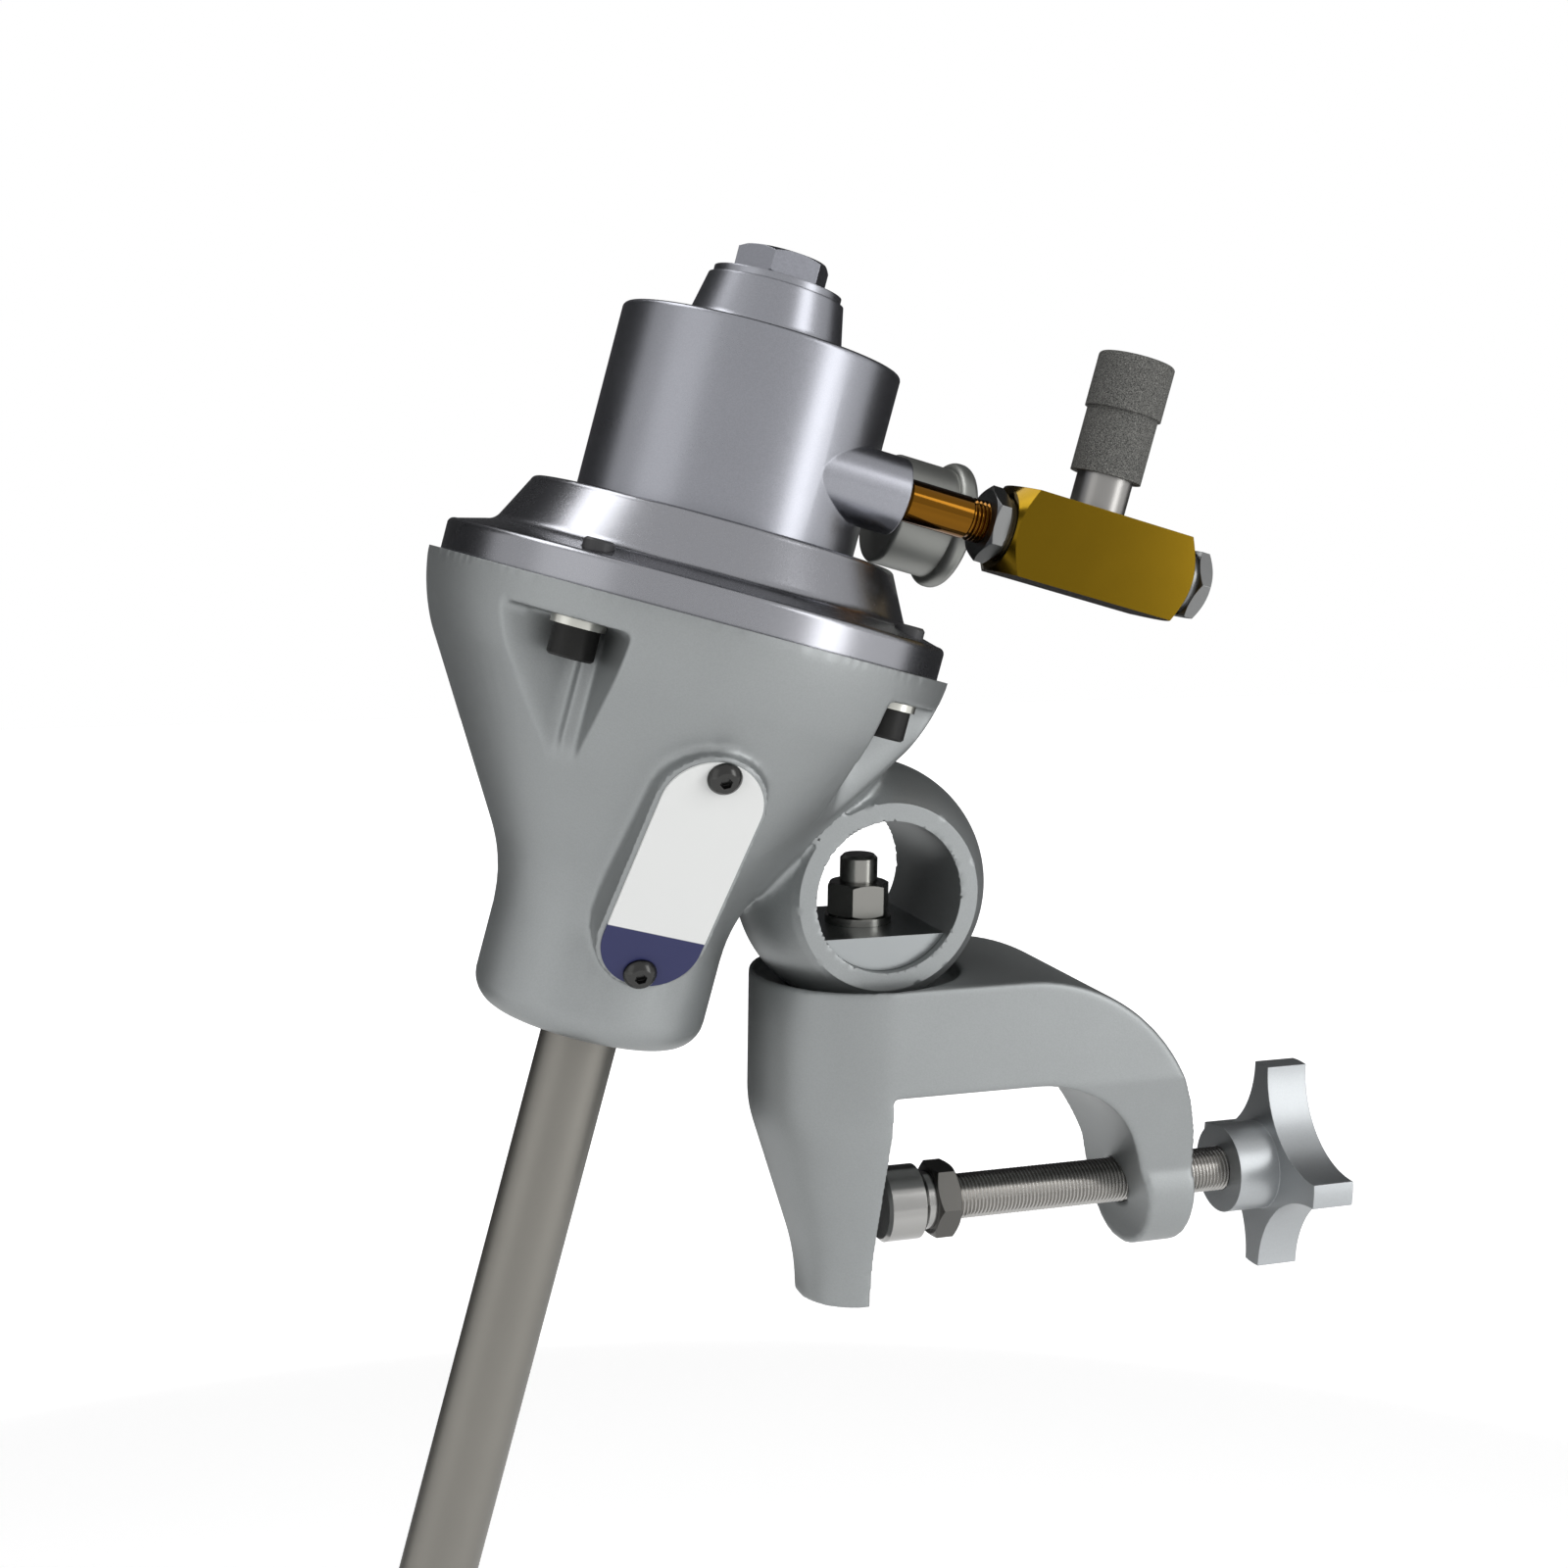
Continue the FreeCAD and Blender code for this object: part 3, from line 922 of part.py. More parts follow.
def clamp_screw_group():
    """Clamp screw, its swivelling pad, the pad's nut and the four-lobed knob."""
    pad_end = "pad_start + pad_length"
    neck_end = pad_end + " + pad_neck_length"
    tip = neck_end + " - pad_socket_depth"
    screw = new_body("clamp_screw")
    turned(screw, "rod", [(tip, "0"), ("screw_end", "0"), ("screw_end", "screw_radius"), (tip, "screw_radius")],
           about="H_Axis")
    seat(screw, WORLD)
    foot = new_body("clamp_pad")
    socket = "screw_radius + running_gap"
    turned(foot, "foot",
           [("pad_start", "0"), ("pad_start", "pad_radius - pad_bevel"), ("pad_start + pad_bevel", "pad_radius"),
            (pad_end + " - pad_bevel_width", "pad_radius"), (pad_end, "pad_neck_radius"),
            (neck_end, "pad_neck_radius"), (neck_end, socket), (tip, socket), (tip, "0")], about="H_Axis")
    seat(foot, WORLD)
    nut = new_body("pad_nut")
    draft = hexagon(nut, "flats", "YZ_Plane", "pad_nut_flats", lift=neck_end)
    pad(nut, "hexagon", draft, "pad_nut_width")
    draft = circles(nut, "bore_circle", "YZ_Plane", [("0", "0", "screw_radius + thread_gap")], lift=neck_end)
    pocket(nut, "bore", draft, "pad_nut_width", ahead=True)
    bevel_hexagon(nut, "bevel", "pad_nut_flats", [(neck_end, "+"), (neck_end + " + pad_nut_width", "-")],
                  about="H_Axis")
    seat(nut, WORLD)
    knob = new_body("screw_knob")
    side = "lobe_half_width"
    out = "sqrt(lobe_reach ^ 2 - lobe_half_width ^ 2)"
    corners = [(out, "-" + side), (out, side), (side, out), ("-" + side, out), ("-" + out, side),
               ("-" + out, "-" + side), ("-" + side, "-" + out), (side, "-" + out)]
    arcs = {0: "lobe_reach", 1: "-lobe_curve", 2: "lobe_reach", 3: "-lobe_curve",
            4: "lobe_reach", 5: "-lobe_curve", 6: "lobe_reach", 7: "-lobe_curve"}
    draft = outline(knob, "lobes_outline", "YZ_Plane", corners, arcs, lift="knob_plate_start")
    pad(knob, "lobes", draft, "knob_plate_width")
    turned(knob, "hub",
           [("knob_hub_start", "0"), ("knob_hub_start", "knob_hub_radius"),
            ("knob_plate_start + hub_fillet", "knob_hub_radius"), ("knob_plate_start + hub_fillet", "0")],
           about="H_Axis")
    turned(knob, "screw_bore",
           [("knob_hub_start", "0"), ("screw_end", "0"), ("screw_end", "screw_radius + thread_gap"),
            ("knob_hub_start", "screw_radius + thread_gap")], about="H_Axis", cuts=True)
    seat(knob, WORLD)


clamp_frame()
swivel_group()
mixer_housing()
nameplate_group()
flange_bolts()
drive_end_plate()
motor_casing()
top_plug()
motor_internals()
shaft_group()
impeller_group()
air_inlet()
needle_valve()
exhaust_group()
clamp_screw_group()

doc.recompute()
for item in doc.Objects:
    for state in ("Invalid", "Error"):
        if state in item.State:
            raise RuntimeError("%s did not compute" % item.Label)
os.makedirs("parts", exist_ok=True)
for body in PARTS:
    if body.Shape.isNull() or not body.Shape.isValid():
        raise RuntimeError("%s has no valid shape" % body.Label)
    body.Shape.exportStep("parts/%s.step" % body.Label)
    print(body.Label, len(body.Shape.Solids), round(body.Shape.Volume / 1000, 1))
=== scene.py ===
# %% [markdown]
# # A clamp-mounted tank agitator
# The CAD model is the object at its real size. This script gives every piece its surface: cast,
# turned, threaded, plated or printed. It starts by loading the model as a frame that nothing moves.

import json
import math

import bmesh
import bpy
import numpy as np
from mathutils import Matrix, Vector


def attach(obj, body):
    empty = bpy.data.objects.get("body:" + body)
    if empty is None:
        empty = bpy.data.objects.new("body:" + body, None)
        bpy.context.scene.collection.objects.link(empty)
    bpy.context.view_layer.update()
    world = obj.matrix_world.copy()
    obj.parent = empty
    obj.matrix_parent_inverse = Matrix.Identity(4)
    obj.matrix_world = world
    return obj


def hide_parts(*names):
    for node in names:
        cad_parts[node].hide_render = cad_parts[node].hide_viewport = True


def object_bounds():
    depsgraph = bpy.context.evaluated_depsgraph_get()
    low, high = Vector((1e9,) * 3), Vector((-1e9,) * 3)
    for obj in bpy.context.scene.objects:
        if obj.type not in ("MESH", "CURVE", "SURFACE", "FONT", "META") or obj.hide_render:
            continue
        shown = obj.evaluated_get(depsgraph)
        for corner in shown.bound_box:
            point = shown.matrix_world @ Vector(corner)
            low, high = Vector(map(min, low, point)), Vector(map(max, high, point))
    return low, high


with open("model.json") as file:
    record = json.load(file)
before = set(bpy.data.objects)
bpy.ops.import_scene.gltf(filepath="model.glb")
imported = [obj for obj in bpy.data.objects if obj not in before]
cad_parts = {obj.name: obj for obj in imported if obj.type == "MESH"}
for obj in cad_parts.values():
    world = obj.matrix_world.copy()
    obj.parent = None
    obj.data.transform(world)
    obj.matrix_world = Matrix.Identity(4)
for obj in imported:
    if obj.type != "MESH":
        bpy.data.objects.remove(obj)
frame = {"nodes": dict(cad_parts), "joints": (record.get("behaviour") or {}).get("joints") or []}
cad_box = [list(corner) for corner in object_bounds()]
nodes = frame["nodes"]
MM = 0.001
print("CAD nodes:", len(nodes), "box:", cad_box)

# %% [markdown]
# ## The places that everything is measured from
# The motor, the bell housing and the shaft lean with the mixing shaft. Their own frame starts in the
# middle of the housing's rim, with its third axis along the shaft. The shaft's joint in the record
# gives that point and that axis, so nothing is copied here by hand.

# %% The head's own frame
joints = {joint["name"]: joint for joint in frame["joints"]}
rim_centre = Vector(joints["shaft_spin"]["pos_m"])
shaft_axis = Vector(joints["shaft_spin"]["axis"]).normalized()
tilt_axis = Vector((0, 1, 0))
reach_axis = tilt_axis.cross(shaft_axis).normalized()
HEAD = Matrix((reach_axis, tilt_axis, shaft_axis)).transposed().to_4x4()
HEAD.translation = rim_centre
print("rim centre:", rim_centre, "shaft axis:", shaft_axis)


# %% [markdown]
# ## Camera
# The photograph was taken from the left and a little above, with a normal lens. Its place comes from
# matching the object's known sizes, so the camera needs no shift. It's written as a real place in
# metres and as the two directions that it looks along and holds upright.

# %% The camera
CAMERA_PLACE = Vector((-0.258223, -0.665257, 0.2599))
CAMERA_LOOK = Vector((0.32424, 0.93312, -0.15545))
CAMERA_UP = Vector((0.03697, 0.15170, 0.98773))
LENS, SENSOR = 49.5, 36.0


def link_object(obj):
    """Puts a new object into the scene."""
    bpy.context.scene.collection.objects.link(obj)
    return obj


def aim_camera(place, look, up):
    """Camera whose own -Z axis lies along look and whose Y axis is nearest to up."""
    back = -look.normalized()
    right = up.cross(back).normalized()
    data = bpy.data.cameras.new("camera")
    data.lens, data.sensor_width, data.sensor_fit = LENS, SENSOR, "HORIZONTAL"
    camera = bpy.data.objects.new("camera", data)
    turn = Matrix((right, back.cross(right), back)).transposed().to_4x4()
    camera.matrix_world = Matrix.Translation(place) @ turn
    bpy.context.scene.camera = link_object(camera)


aim_camera(CAMERA_PLACE, CAMERA_LOOK, CAMERA_UP)
print("camera looks along", CAMERA_LOOK)

# %% [markdown]
# ## Studio
# The object hangs from its clamp in a white studio. The world and the floor are plain white where the
# camera, mirrors and glass look at them, and a soft grey where they light matt surfaces. A white that
# lit everything fully would wash the castings out, and a grey one would spoil the background.

# %% Materials of the set
WORLD_GREY = 0.75
WHITE = (1.0, 1.0, 1.0, 1.0)


def new_material(name):
    """New material with its node tree and its Principled shader."""
    material = bpy.data.materials.new(name)
    material.use_nodes = True
    return material, material.node_tree, material.node_tree.nodes["Principled BSDF"]


def seen_directly(tree):
    """Value that is 1 for camera, mirror and glass rays, and 0 for the rays that carry matt light."""
    path = tree.nodes.new("ShaderNodeLightPath")
    value = path.outputs["Is Camera Ray"]
    for other in ("Is Glossy Ray", "Is Transmission Ray"):
        either = tree.nodes.new("ShaderNodeMath")
        either.operation = "MAXIMUM"
        tree.links.new(value, either.inputs[0])
        tree.links.new(path.outputs[other], either.inputs[1])
        value = either.outputs[0]
    return value


def white_studio_world():
    """World that is white to the camera and to mirrors, and grey as a light."""
    world = bpy.data.worlds.new("studio")
    world.use_nodes = True
    tree = world.node_tree
    tree.nodes.clear()
    strength = tree.nodes.new("ShaderNodeMapRange")
    strength.inputs["To Min"].default_value = WORLD_GREY
    strength.inputs["To Max"].default_value = 1.0
    tree.links.new(seen_directly(tree), strength.inputs["Value"])
    background = tree.nodes.new("ShaderNodeBackground")
    background.inputs["Color"].default_value = WHITE
    tree.links.new(strength.outputs[0], background.inputs["Strength"])
    output = tree.nodes.new("ShaderNodeOutputWorld")
    tree.links.new(background.outputs[0], output.inputs["Surface"])
    bpy.context.scene.world = world


def plain_material(name, colour, roughness, glow=0.0):
    """Principled material of one colour for the set. It glows only where it is seen directly."""
    material, tree, shader = new_material(name)
    shader.inputs["Base Color"].default_value = (*colour, 1.0)
    shader.inputs["Roughness"].default_value = roughness
    if glow:
        shader.inputs["Emission Color"].default_value = WHITE
        strength = tree.nodes.new("ShaderNodeMath")
        strength.operation = "MULTIPLY"
        tree.links.new(seen_directly(tree), strength.inputs[0])
        strength.inputs[1].default_value = glow
        tree.links.new(strength.outputs[0], shader.inputs["Emission Strength"])
    return material


white_studio_world()
print("world:", bpy.context.scene.world.name)


# %% [markdown]
# ## Floor
# The object hangs free, so nothing under it has to be shown. A pale sheet just below the propeller
# gives its shadow a place to fall. It glows where it is seen directly, which keeps it near white
# without lighting the object from below.

# %% Floor
FLOOR_COLOUR = (0.86, 0.86, 0.86)
FLOOR_GLOW = 0.75
FLOOR_DROP, FLOOR_SIDE = 0.012, 14.0


def grid_quads(rows, columns):
    """Four point numbers for each cell of a grid whose points are numbered row by row."""
    index = np.arange(rows * columns).reshape(rows, columns)
    corners = [index[:-1, :-1], index[:-1, 1:], index[1:, 1:], index[1:, :-1]]
    return np.stack(corners, axis=-1).reshape(-1, 4).tolist()


def stage_surface(name, grid, material):
    """Part of the set from a grid of points: neighbours in both directions make quads."""
    mesh = bpy.data.meshes.new(name)
    mesh.from_pydata(grid.reshape(-1, 3).tolist(), [], grid_quads(*grid.shape[:2]))
    mesh.materials.append(material)
    sheet = link_object(bpy.data.objects.new(name, mesh))
    return sheet


def level_sheet(centre, width, depth):
    """Grid of a level rectangle: centre + (s width / 2, t depth / 2, 0), with s and t from -1 to 1."""
    s, t = np.meshgrid([-1.0, 1.0], [-1.0, 1.0], indexing="ij")
    level = np.full_like(s, centre[2])
    return np.stack([centre[0] + s * width / 2, centre[1] + t * depth / 2, level], axis=-1)


floor_place = (0.0, 0.0, cad_box[0][2] - FLOOR_DROP)
stage_surface("floor", level_sheet(floor_place, FLOOR_SIDE, FLOOR_SIDE),
              plain_material("pale_floor", FLOOR_COLOUR, 0.8, FLOOR_GLOW))
print("floor at", floor_place[2])

# %% [markdown]
# ## Dark wall
# Product studios stand black cards round shiny metal, because it needs something dark to mirror.
# Darker edges in the materials would not move with the form. One curved wall that leans over the
# back serves every piece at once, and the camera never sees it.

# %% Dark wall
WALL_TURN = math.radians(6)
WALL_HALF_ANGLE = math.radians(74)
WALL_PROFILE = [(1.6, cad_box[0][2]), (1.6, 0.9), (1.35, 1.35), (0.8, 1.6), (0.3, 1.65)]
WALL_COLUMNS = 33


def leaning_wall(profile, turn, half_angle):
    """Grid of a wall behind the object: (r cos a, r sin a, z) for each (r, z) of the profile."""
    look = math.atan2(CAMERA_LOOK.y, CAMERA_LOOK.x) + turn
    angle, row = np.meshgrid(np.linspace(look - half_angle, look + half_angle, WALL_COLUMNS),
                             np.arange(len(profile)), indexing="ij")
    radius, height = np.array(profile)[row].transpose(2, 0, 1)
    return np.stack([radius * np.cos(angle), radius * np.sin(angle), height], axis=-1)


wall = stage_surface("dark_wall", leaning_wall(WALL_PROFILE, WALL_TURN, WALL_HALF_ANGLE),
                     plain_material("dark_card", (0.02, 0.02, 0.022), 0.7))
wall.visible_camera = False
wall.visible_shadow = False
wall.visible_transmission = False
print("dark wall:", len(wall.data.polygons), "faces")


# %% [markdown]
# ## Lamps
# One tall soft lamp stands to the front right, level with the motor, where the photograph shows the
# long bright stripe. A weak one fills from the left, and a broad one over the back lights the top
# edges. None is small enough to burn a hard spot.

# %% Area lamps
def area_lamp(name, place, target, size, power, matt=True):
    """Rectangular lamp at place, facing target, with its sides in metres and its power in watts.

    A lamp that is not matt shows in mirrors only: it draws highlights and leaves matt faces alone.
    """
    data = bpy.data.lights.new(name, "AREA")
    data.shape = "RECTANGLE"
    data.size, data.size_y = size
    data.energy = power
    lamp = link_object(bpy.data.objects.new(name, data))
    turn = (Vector(place) - Vector(target)).to_track_quat("Z", "Y")
    lamp.matrix_world = Matrix.Translation(place) @ turn.to_matrix().to_4x4()
    lamp.visible_diffuse = matt


MIDDLE = Vector((0.0, 0.0, 0.12))
area_lamp("key", (1.0, -1.1, 0.42), MIDDLE, size=(0.5, 1.4), power=9)
area_lamp("fill", (-1.5, -0.5, 0.5), MIDDLE, size=(1.0, 1.6), power=3)
area_lamp("top", (-0.6, 0.45, 1.5), MIDDLE, size=(1.0, 0.6), power=9, matt=False)


# %% [markdown]
# ## Shared shader groups
# Several metals share the same effects: the orange-peel of a casting, the sparkle of metallic paint,
# handling marks that change the shine, and the fine lines left by a lathe. Each effect is one node
# group with named inputs, so a finish only says how much of it there is. The groups give out values
# only. The shader itself stays in each material.

# %% Helpers for node groups
def new_group(name, inputs, outputs):
    """Empty shader node group with the given sockets: pairs or triples of name, kind and default."""
    group = bpy.data.node_groups.new(name, "ShaderNodeTree")
    for label, kind, default in inputs:
        socket = group.interface.new_socket(label, in_out="INPUT", socket_type="NodeSocket" + kind)
        if default is not None:
            socket.default_value = default
    for label, kind in outputs:
        group.interface.new_socket(label, in_out="OUTPUT", socket_type="NodeSocket" + kind)
    return group, group.nodes.new("NodeGroupInput"), group.nodes.new("NodeGroupOutput")


def put(tree, kind, settings=None, **sockets):
    """New node with plain settings and socket values.

    A socket is named with underscores for spaces, or as n and its number.
    """
    node = tree.nodes.new(kind)
    for key, value in (settings or {}).items():
        setattr(node, key, value)
    for key, value in sockets.items():
        numbered = key[0] == "n" and key[1:].isdigit()
        socket = node.inputs[int(key[1:]) if numbered else key.replace("_", " ")]
        if isinstance(value, bpy.types.NodeSocket):
            tree.links.new(value, socket)
        else:
            socket.default_value = value
    return node


print("node helpers ready")


# %% [markdown]
# ## Effect: casting skin
# A painted sand casting is never quite flat: it has a fine orange-peel and slow waves. As a mesh that
# would be millions of faces, so two noises give a height for bump, and the slow one varies the tone.

# %% Group: casting skin
def casting_skin_group():
    """Fine orange-peel plus slow waves: Height = peel noise at Grain + 0.5 * wave noise at Wave."""
    group, source, target = new_group(
        "casting_skin", [("Grain", "Float", 900.0), ("Wave", "Float", 60.0)],
        [("Height", "Float"), ("Tone", "Float")])
    place = put(group, "ShaderNodeTexCoord")
    peel = put(group, "ShaderNodeTexNoise", Vector=place.outputs["Object"], Scale=source.outputs["Grain"],
               Detail=3.0, Roughness=0.6)
    wave = put(group, "ShaderNodeTexNoise", Vector=place.outputs["Object"], Scale=source.outputs["Wave"],
               Detail=2.0, Roughness=0.5)
    height = put(group, "ShaderNodeMath", {"operation": "MULTIPLY_ADD"}, n0=wave.outputs["Fac"], n1=0.5,
                 n2=peel.outputs["Fac"])
    group.links.new(height.outputs[0], target.inputs["Height"])
    group.links.new(wave.outputs["Fac"], target.inputs["Tone"])
    return group


casting_skin = casting_skin_group()
print("group:", casting_skin.name)


# %% [markdown]
# ## Effect: metallic sparkle
# Metallic enamel holds flakes that each mirror another way. Small Voronoi cells have one random
# colour each, which gives flakes with sharp edges, where a noise would give soft clouds.

# %% Group: metallic sparkle
def sparkle_group():
    """Small cells, each of its own brightness: Spark = red part of the cell's random colour, 0 to 1."""
    group, source, target = new_group("sparkle", [("Density", "Float", 2600.0)], [("Spark", "Float")])
    place = put(group, "ShaderNodeTexCoord")
    cells = put(group, "ShaderNodeTexVoronoi", Vector=place.outputs["Object"],
                Scale=source.outputs["Density"])
    grey = put(group, "ShaderNodeSeparateColor", Color=cells.outputs["Color"])
    group.links.new(grey.outputs[0], target.inputs["Spark"])
    return group


sparkle = sparkle_group()
print("group:", sparkle.name)


# %% [markdown]
# ## Effect: handling marks
# Fingers leave smudges and tools leave thin scratches, and both change the shine, not the colour. A
# broad noise makes the smudges. A noise stretched one way and cut off high makes the scratches,
# which is cheaper than drawing each of them.

# %% Group: handling marks
def handling_group():
    """Broad smudges and fine scratches: Marks = smudge noise, lifted where thin stretched noise peaks."""
    group, source, target = new_group("handling_marks", [("Size", "Float", 35.0), ("Scratch", "Float", 0.3)],
                                      [("Marks", "Float")])
    place = put(group, "ShaderNodeTexCoord")
    smudge = put(group, "ShaderNodeTexNoise", Vector=place.outputs["Object"], Scale=source.outputs["Size"],
                 Detail=4.0, Roughness=0.55, Distortion=0.6)
    stretch = put(group, "ShaderNodeMapping", {"vector_type": "TEXTURE"}, Vector=place.outputs["Object"],
                  Rotation=(0.5, 0.3, 0.8), Scale=(0.05, 1.0, 1.0))
    streak = put(group, "ShaderNodeTexNoise", Vector=stretch.outputs[0], Scale=500.0, Detail=2.0)
    peak = put(group, "ShaderNodeMapRange", Value=streak.outputs["Fac"], From_Min=0.62, From_Max=0.72,
               To_Min=0.0, To_Max=source.outputs["Scratch"])
    marks = put(group, "ShaderNodeMath", {"operation": "ADD"}, n0=smudge.outputs["Fac"], n1=peak.outputs[0])
    group.links.new(marks.outputs[0], target.inputs["Marks"])
    return group


handling = handling_group()
print("group:", handling.name)


# %% [markdown]
# ## Effect: lathe lines
# A turning tool leaves fine rings round the axis. They follow from one number, the distance along the
# axis plus the radius, so a noise of that number draws them on a piece's sides and its ends alike.

# %% Group: lathe lines
def lathe_group():
    """Rings round an axis: Lines = 1D noise of Pitch * (radius + distance along the axis)."""
    group, source, target = new_group(
        "lathe_lines", [("Vector", "Vector", None), ("Pitch", "Float", 2500.0)], [("Lines", "Float")])
    parts = put(group, "ShaderNodeSeparateXYZ", Vector=source.outputs["Vector"])
    flat = put(group, "ShaderNodeCombineXYZ", X=parts.outputs["X"], Y=parts.outputs["Y"], Z=0.0)
    radius = put(group, "ShaderNodeVectorMath", {"operation": "LENGTH"}, n0=flat.outputs[0])
    joined = put(group, "ShaderNodeMath", {"operation": "ADD"}, n0=radius.outputs["Value"],
                 n1=parts.outputs["Z"])
    scaled = put(group, "ShaderNodeMath", {"operation": "MULTIPLY"}, n0=joined.outputs[0],
                 n1=source.outputs["Pitch"])
    lines = put(group, "ShaderNodeTexNoise", {"noise_dimensions": "1D"}, W=scaled.outputs[0], Scale=1.0,
                Detail=2.0)
    group.links.new(lines.outputs["Fac"], target.inputs["Lines"])
    return group


lathe_lines = lathe_group()
print("groups:", [g.name for g in bpy.data.node_groups])


# %% [markdown]
# ## Metals
# Every metal here is a Principled material. What differs is the colour, how sharply it mirrors, and
# which shared effects it carries. Small machined pieces have edges rounded by a few tenths of a
# millimetre, too small for the mesh, so the Bevel node bends the shading over them instead.

# %% The metal maker
def metal(name, colour, roughness, metallic=1.0, grain=900.0, wave=60.0, bump=0.0, spark=0.0,
          marks=0.06, edge=0.35, tone=0.05, density=2600.0, lines=0.0, line_axis=None, pitch=2500.0):
    """Principled metal. bump, edge and lines are in millimetres, and lines run round line_axis.

    Roughness = roughness + marks * (handling marks - 0.5) + spark / 2 * (cell - 0.5).
    Colour = colour * (1 + tone * (wave tone - 0.5) + spark * (cell - 0.5)).
    """
    material, tree, shader = new_material(name)
    shader.inputs["Metallic"].default_value = metallic
    skin = put(tree, "ShaderNodeGroup", {"node_tree": casting_skin}, Grain=grain, Wave=wave)
    cells = put(tree, "ShaderNodeGroup", {"node_tree": sparkle}, Density=density)
    worn = put(tree, "ShaderNodeGroup", {"node_tree": handling})
    tone_part = put(tree, "ShaderNodeMath", {"operation": "MULTIPLY_ADD"}, n0=skin.outputs["Tone"], n1=tone,
                    n2=1.0 - tone / 2 - spark / 2)
    bright = put(tree, "ShaderNodeMath", {"operation": "MULTIPLY_ADD"}, n0=cells.outputs["Spark"], n1=spark,
                 n2=tone_part.outputs[0])
    tinted = put(tree, "ShaderNodeVectorMath", {"operation": "SCALE"}, n0=colour, Scale=bright.outputs[0])
    tree.links.new(tinted.outputs[0], shader.inputs["Base Color"])
    rough_marks = put(tree, "ShaderNodeMath", {"operation": "MULTIPLY_ADD"}, n0=worn.outputs["Marks"],
                      n1=marks, n2=roughness - marks / 2 - spark / 4)
    rough = put(tree, "ShaderNodeMath", {"operation": "MULTIPLY_ADD"}, n0=cells.outputs["Spark"],
                n1=spark / 2, n2=rough_marks.outputs[0])
    tree.links.new(rough.outputs[0], shader.inputs["Roughness"])
    edges = put(tree, "ShaderNodeBevel", {"samples": 4}, Radius=edge * MM)
    normal = edges.outputs[0]
    if bump:
        relief = put(tree, "ShaderNodeBump", Height=skin.outputs["Height"], Distance=bump * MM, Normal=normal)
        normal = relief.outputs[0]
    if lines:
        rings = put(tree, "ShaderNodeGroup", {"node_tree": lathe_lines}, Vector=along_axis(tree, line_axis),
                    Pitch=pitch)
        relief = put(tree, "ShaderNodeBump", Height=rings.outputs[0], Distance=lines * MM, Normal=normal)
        normal = relief.outputs[0]
    tree.links.new(normal, shader.inputs["Normal"])
    return material


def along_axis(tree, frame_matrix):
    """Object coordinates in a frame of their own: x, y, z = dot products with its axes, from its origin."""
    place = put(tree, "ShaderNodeTexCoord")
    moved = put(tree, "ShaderNodeVectorMath", {"operation": "SUBTRACT"}, n0=place.outputs["Object"],
                n1=frame_matrix.translation)
    parts = [put(tree, "ShaderNodeVectorMath", {"operation": "DOT_PRODUCT"}, n0=moved.outputs[0],
                 n1=frame_matrix.col[i].to_3d()) for i in range(3)]
    return put(tree, "ShaderNodeCombineXYZ", X=parts[0].outputs["Value"], Y=parts[1].outputs["Value"],
               Z=parts[2].outputs["Value"]).outputs[0]


def axis_frame(base, x=0.0, y=0.0, z=0.0, along="z"):
    """Frame at a place of base, in millimetres there, with its own z axis along base's x, y or z."""
    turn = {"z": Matrix.Identity(4), "x": Matrix.Rotation(math.pi / 2, 4, "Y"),
            "y": Matrix.Rotation(-math.pi / 2, 4, "X")}[along]
    return base @ Matrix.Translation(Vector((x, y, z)) * MM) @ turn


WORLD = Matrix.Identity(4)
PORT_SPREAD, PORT_RISE, STEM_PLACE = 30.5, 52.4, 114.8
INLET = axis_frame(HEAD, y=-PORT_SPREAD, z=PORT_RISE, along="x")
EXHAUST = axis_frame(HEAD, y=PORT_SPREAD, z=PORT_RISE, along="x")
STEM = axis_frame(HEAD, x=STEM_PLACE, y=-PORT_SPREAD)
SCREW = axis_frame(WORLD, along="x")

# %% [markdown]
# ## The finishes
# Castings, enamel, turned steel, brass and chrome stand side by side on this object. What tells them
# apart is how dark and how sharp their reflections are, so one maker with different numbers makes
# them all, and their brightness can be set against each other by eye.

# %% The finishes
cast_grey = metal("cast_grey", (0.268, 0.281, 0.283), 0.45, metallic=0.72, grain=1300, wave=45, bump=0.03,
                  spark=0.07, tone=0.08, edge=0.5)
motor_grey = metal("motor_grey", (0.25, 0.255, 0.28), 0.31, grain=1500, wave=50, bump=0.01,
                   spark=0.12, density=4200, tone=0.05, edge=0.8)
plate_grey = metal("plate_grey", (0.25, 0.253, 0.272), 0.25, grain=1500, wave=50, bump=0.003,
                   spark=0.08, density=4200, tone=0.05, edge=0.8)
plug_steel = metal("plug_steel", (0.22, 0.225, 0.25), 0.34, grain=1800, wave=90, bump=0.01, spark=0.1,
                   edge=0.35)
bright_alloy = metal("bright_alloy", (0.35, 0.365, 0.375), 0.42, metallic=0.85, grain=1400, wave=60,
                     bump=0.012, spark=0.06, edge=0.5)
black_oxide = metal("black_oxide", (0.009, 0.009, 0.0085), 0.5, metallic=0.2, grain=1800, wave=300,
                    bump=0.06, spark=0.3, tone=0.3, edge=0.3)
dark_steel = metal("dark_steel", (0.21, 0.208, 0.195), 0.24, grain=2200, wave=120, bump=0.006, edge=0.35,
                   marks=0.12)
button_steel = metal("button_steel", (0.045, 0.045, 0.044), 0.22, grain=2200, wave=120, bump=0.006, edge=0.35,
                     marks=0.12)
saddle_steel = metal("saddle_steel", (0.285, 0.30, 0.305), 0.3, grain=2200, wave=120, bump=0.006, edge=0.35,
                     marks=0.1)
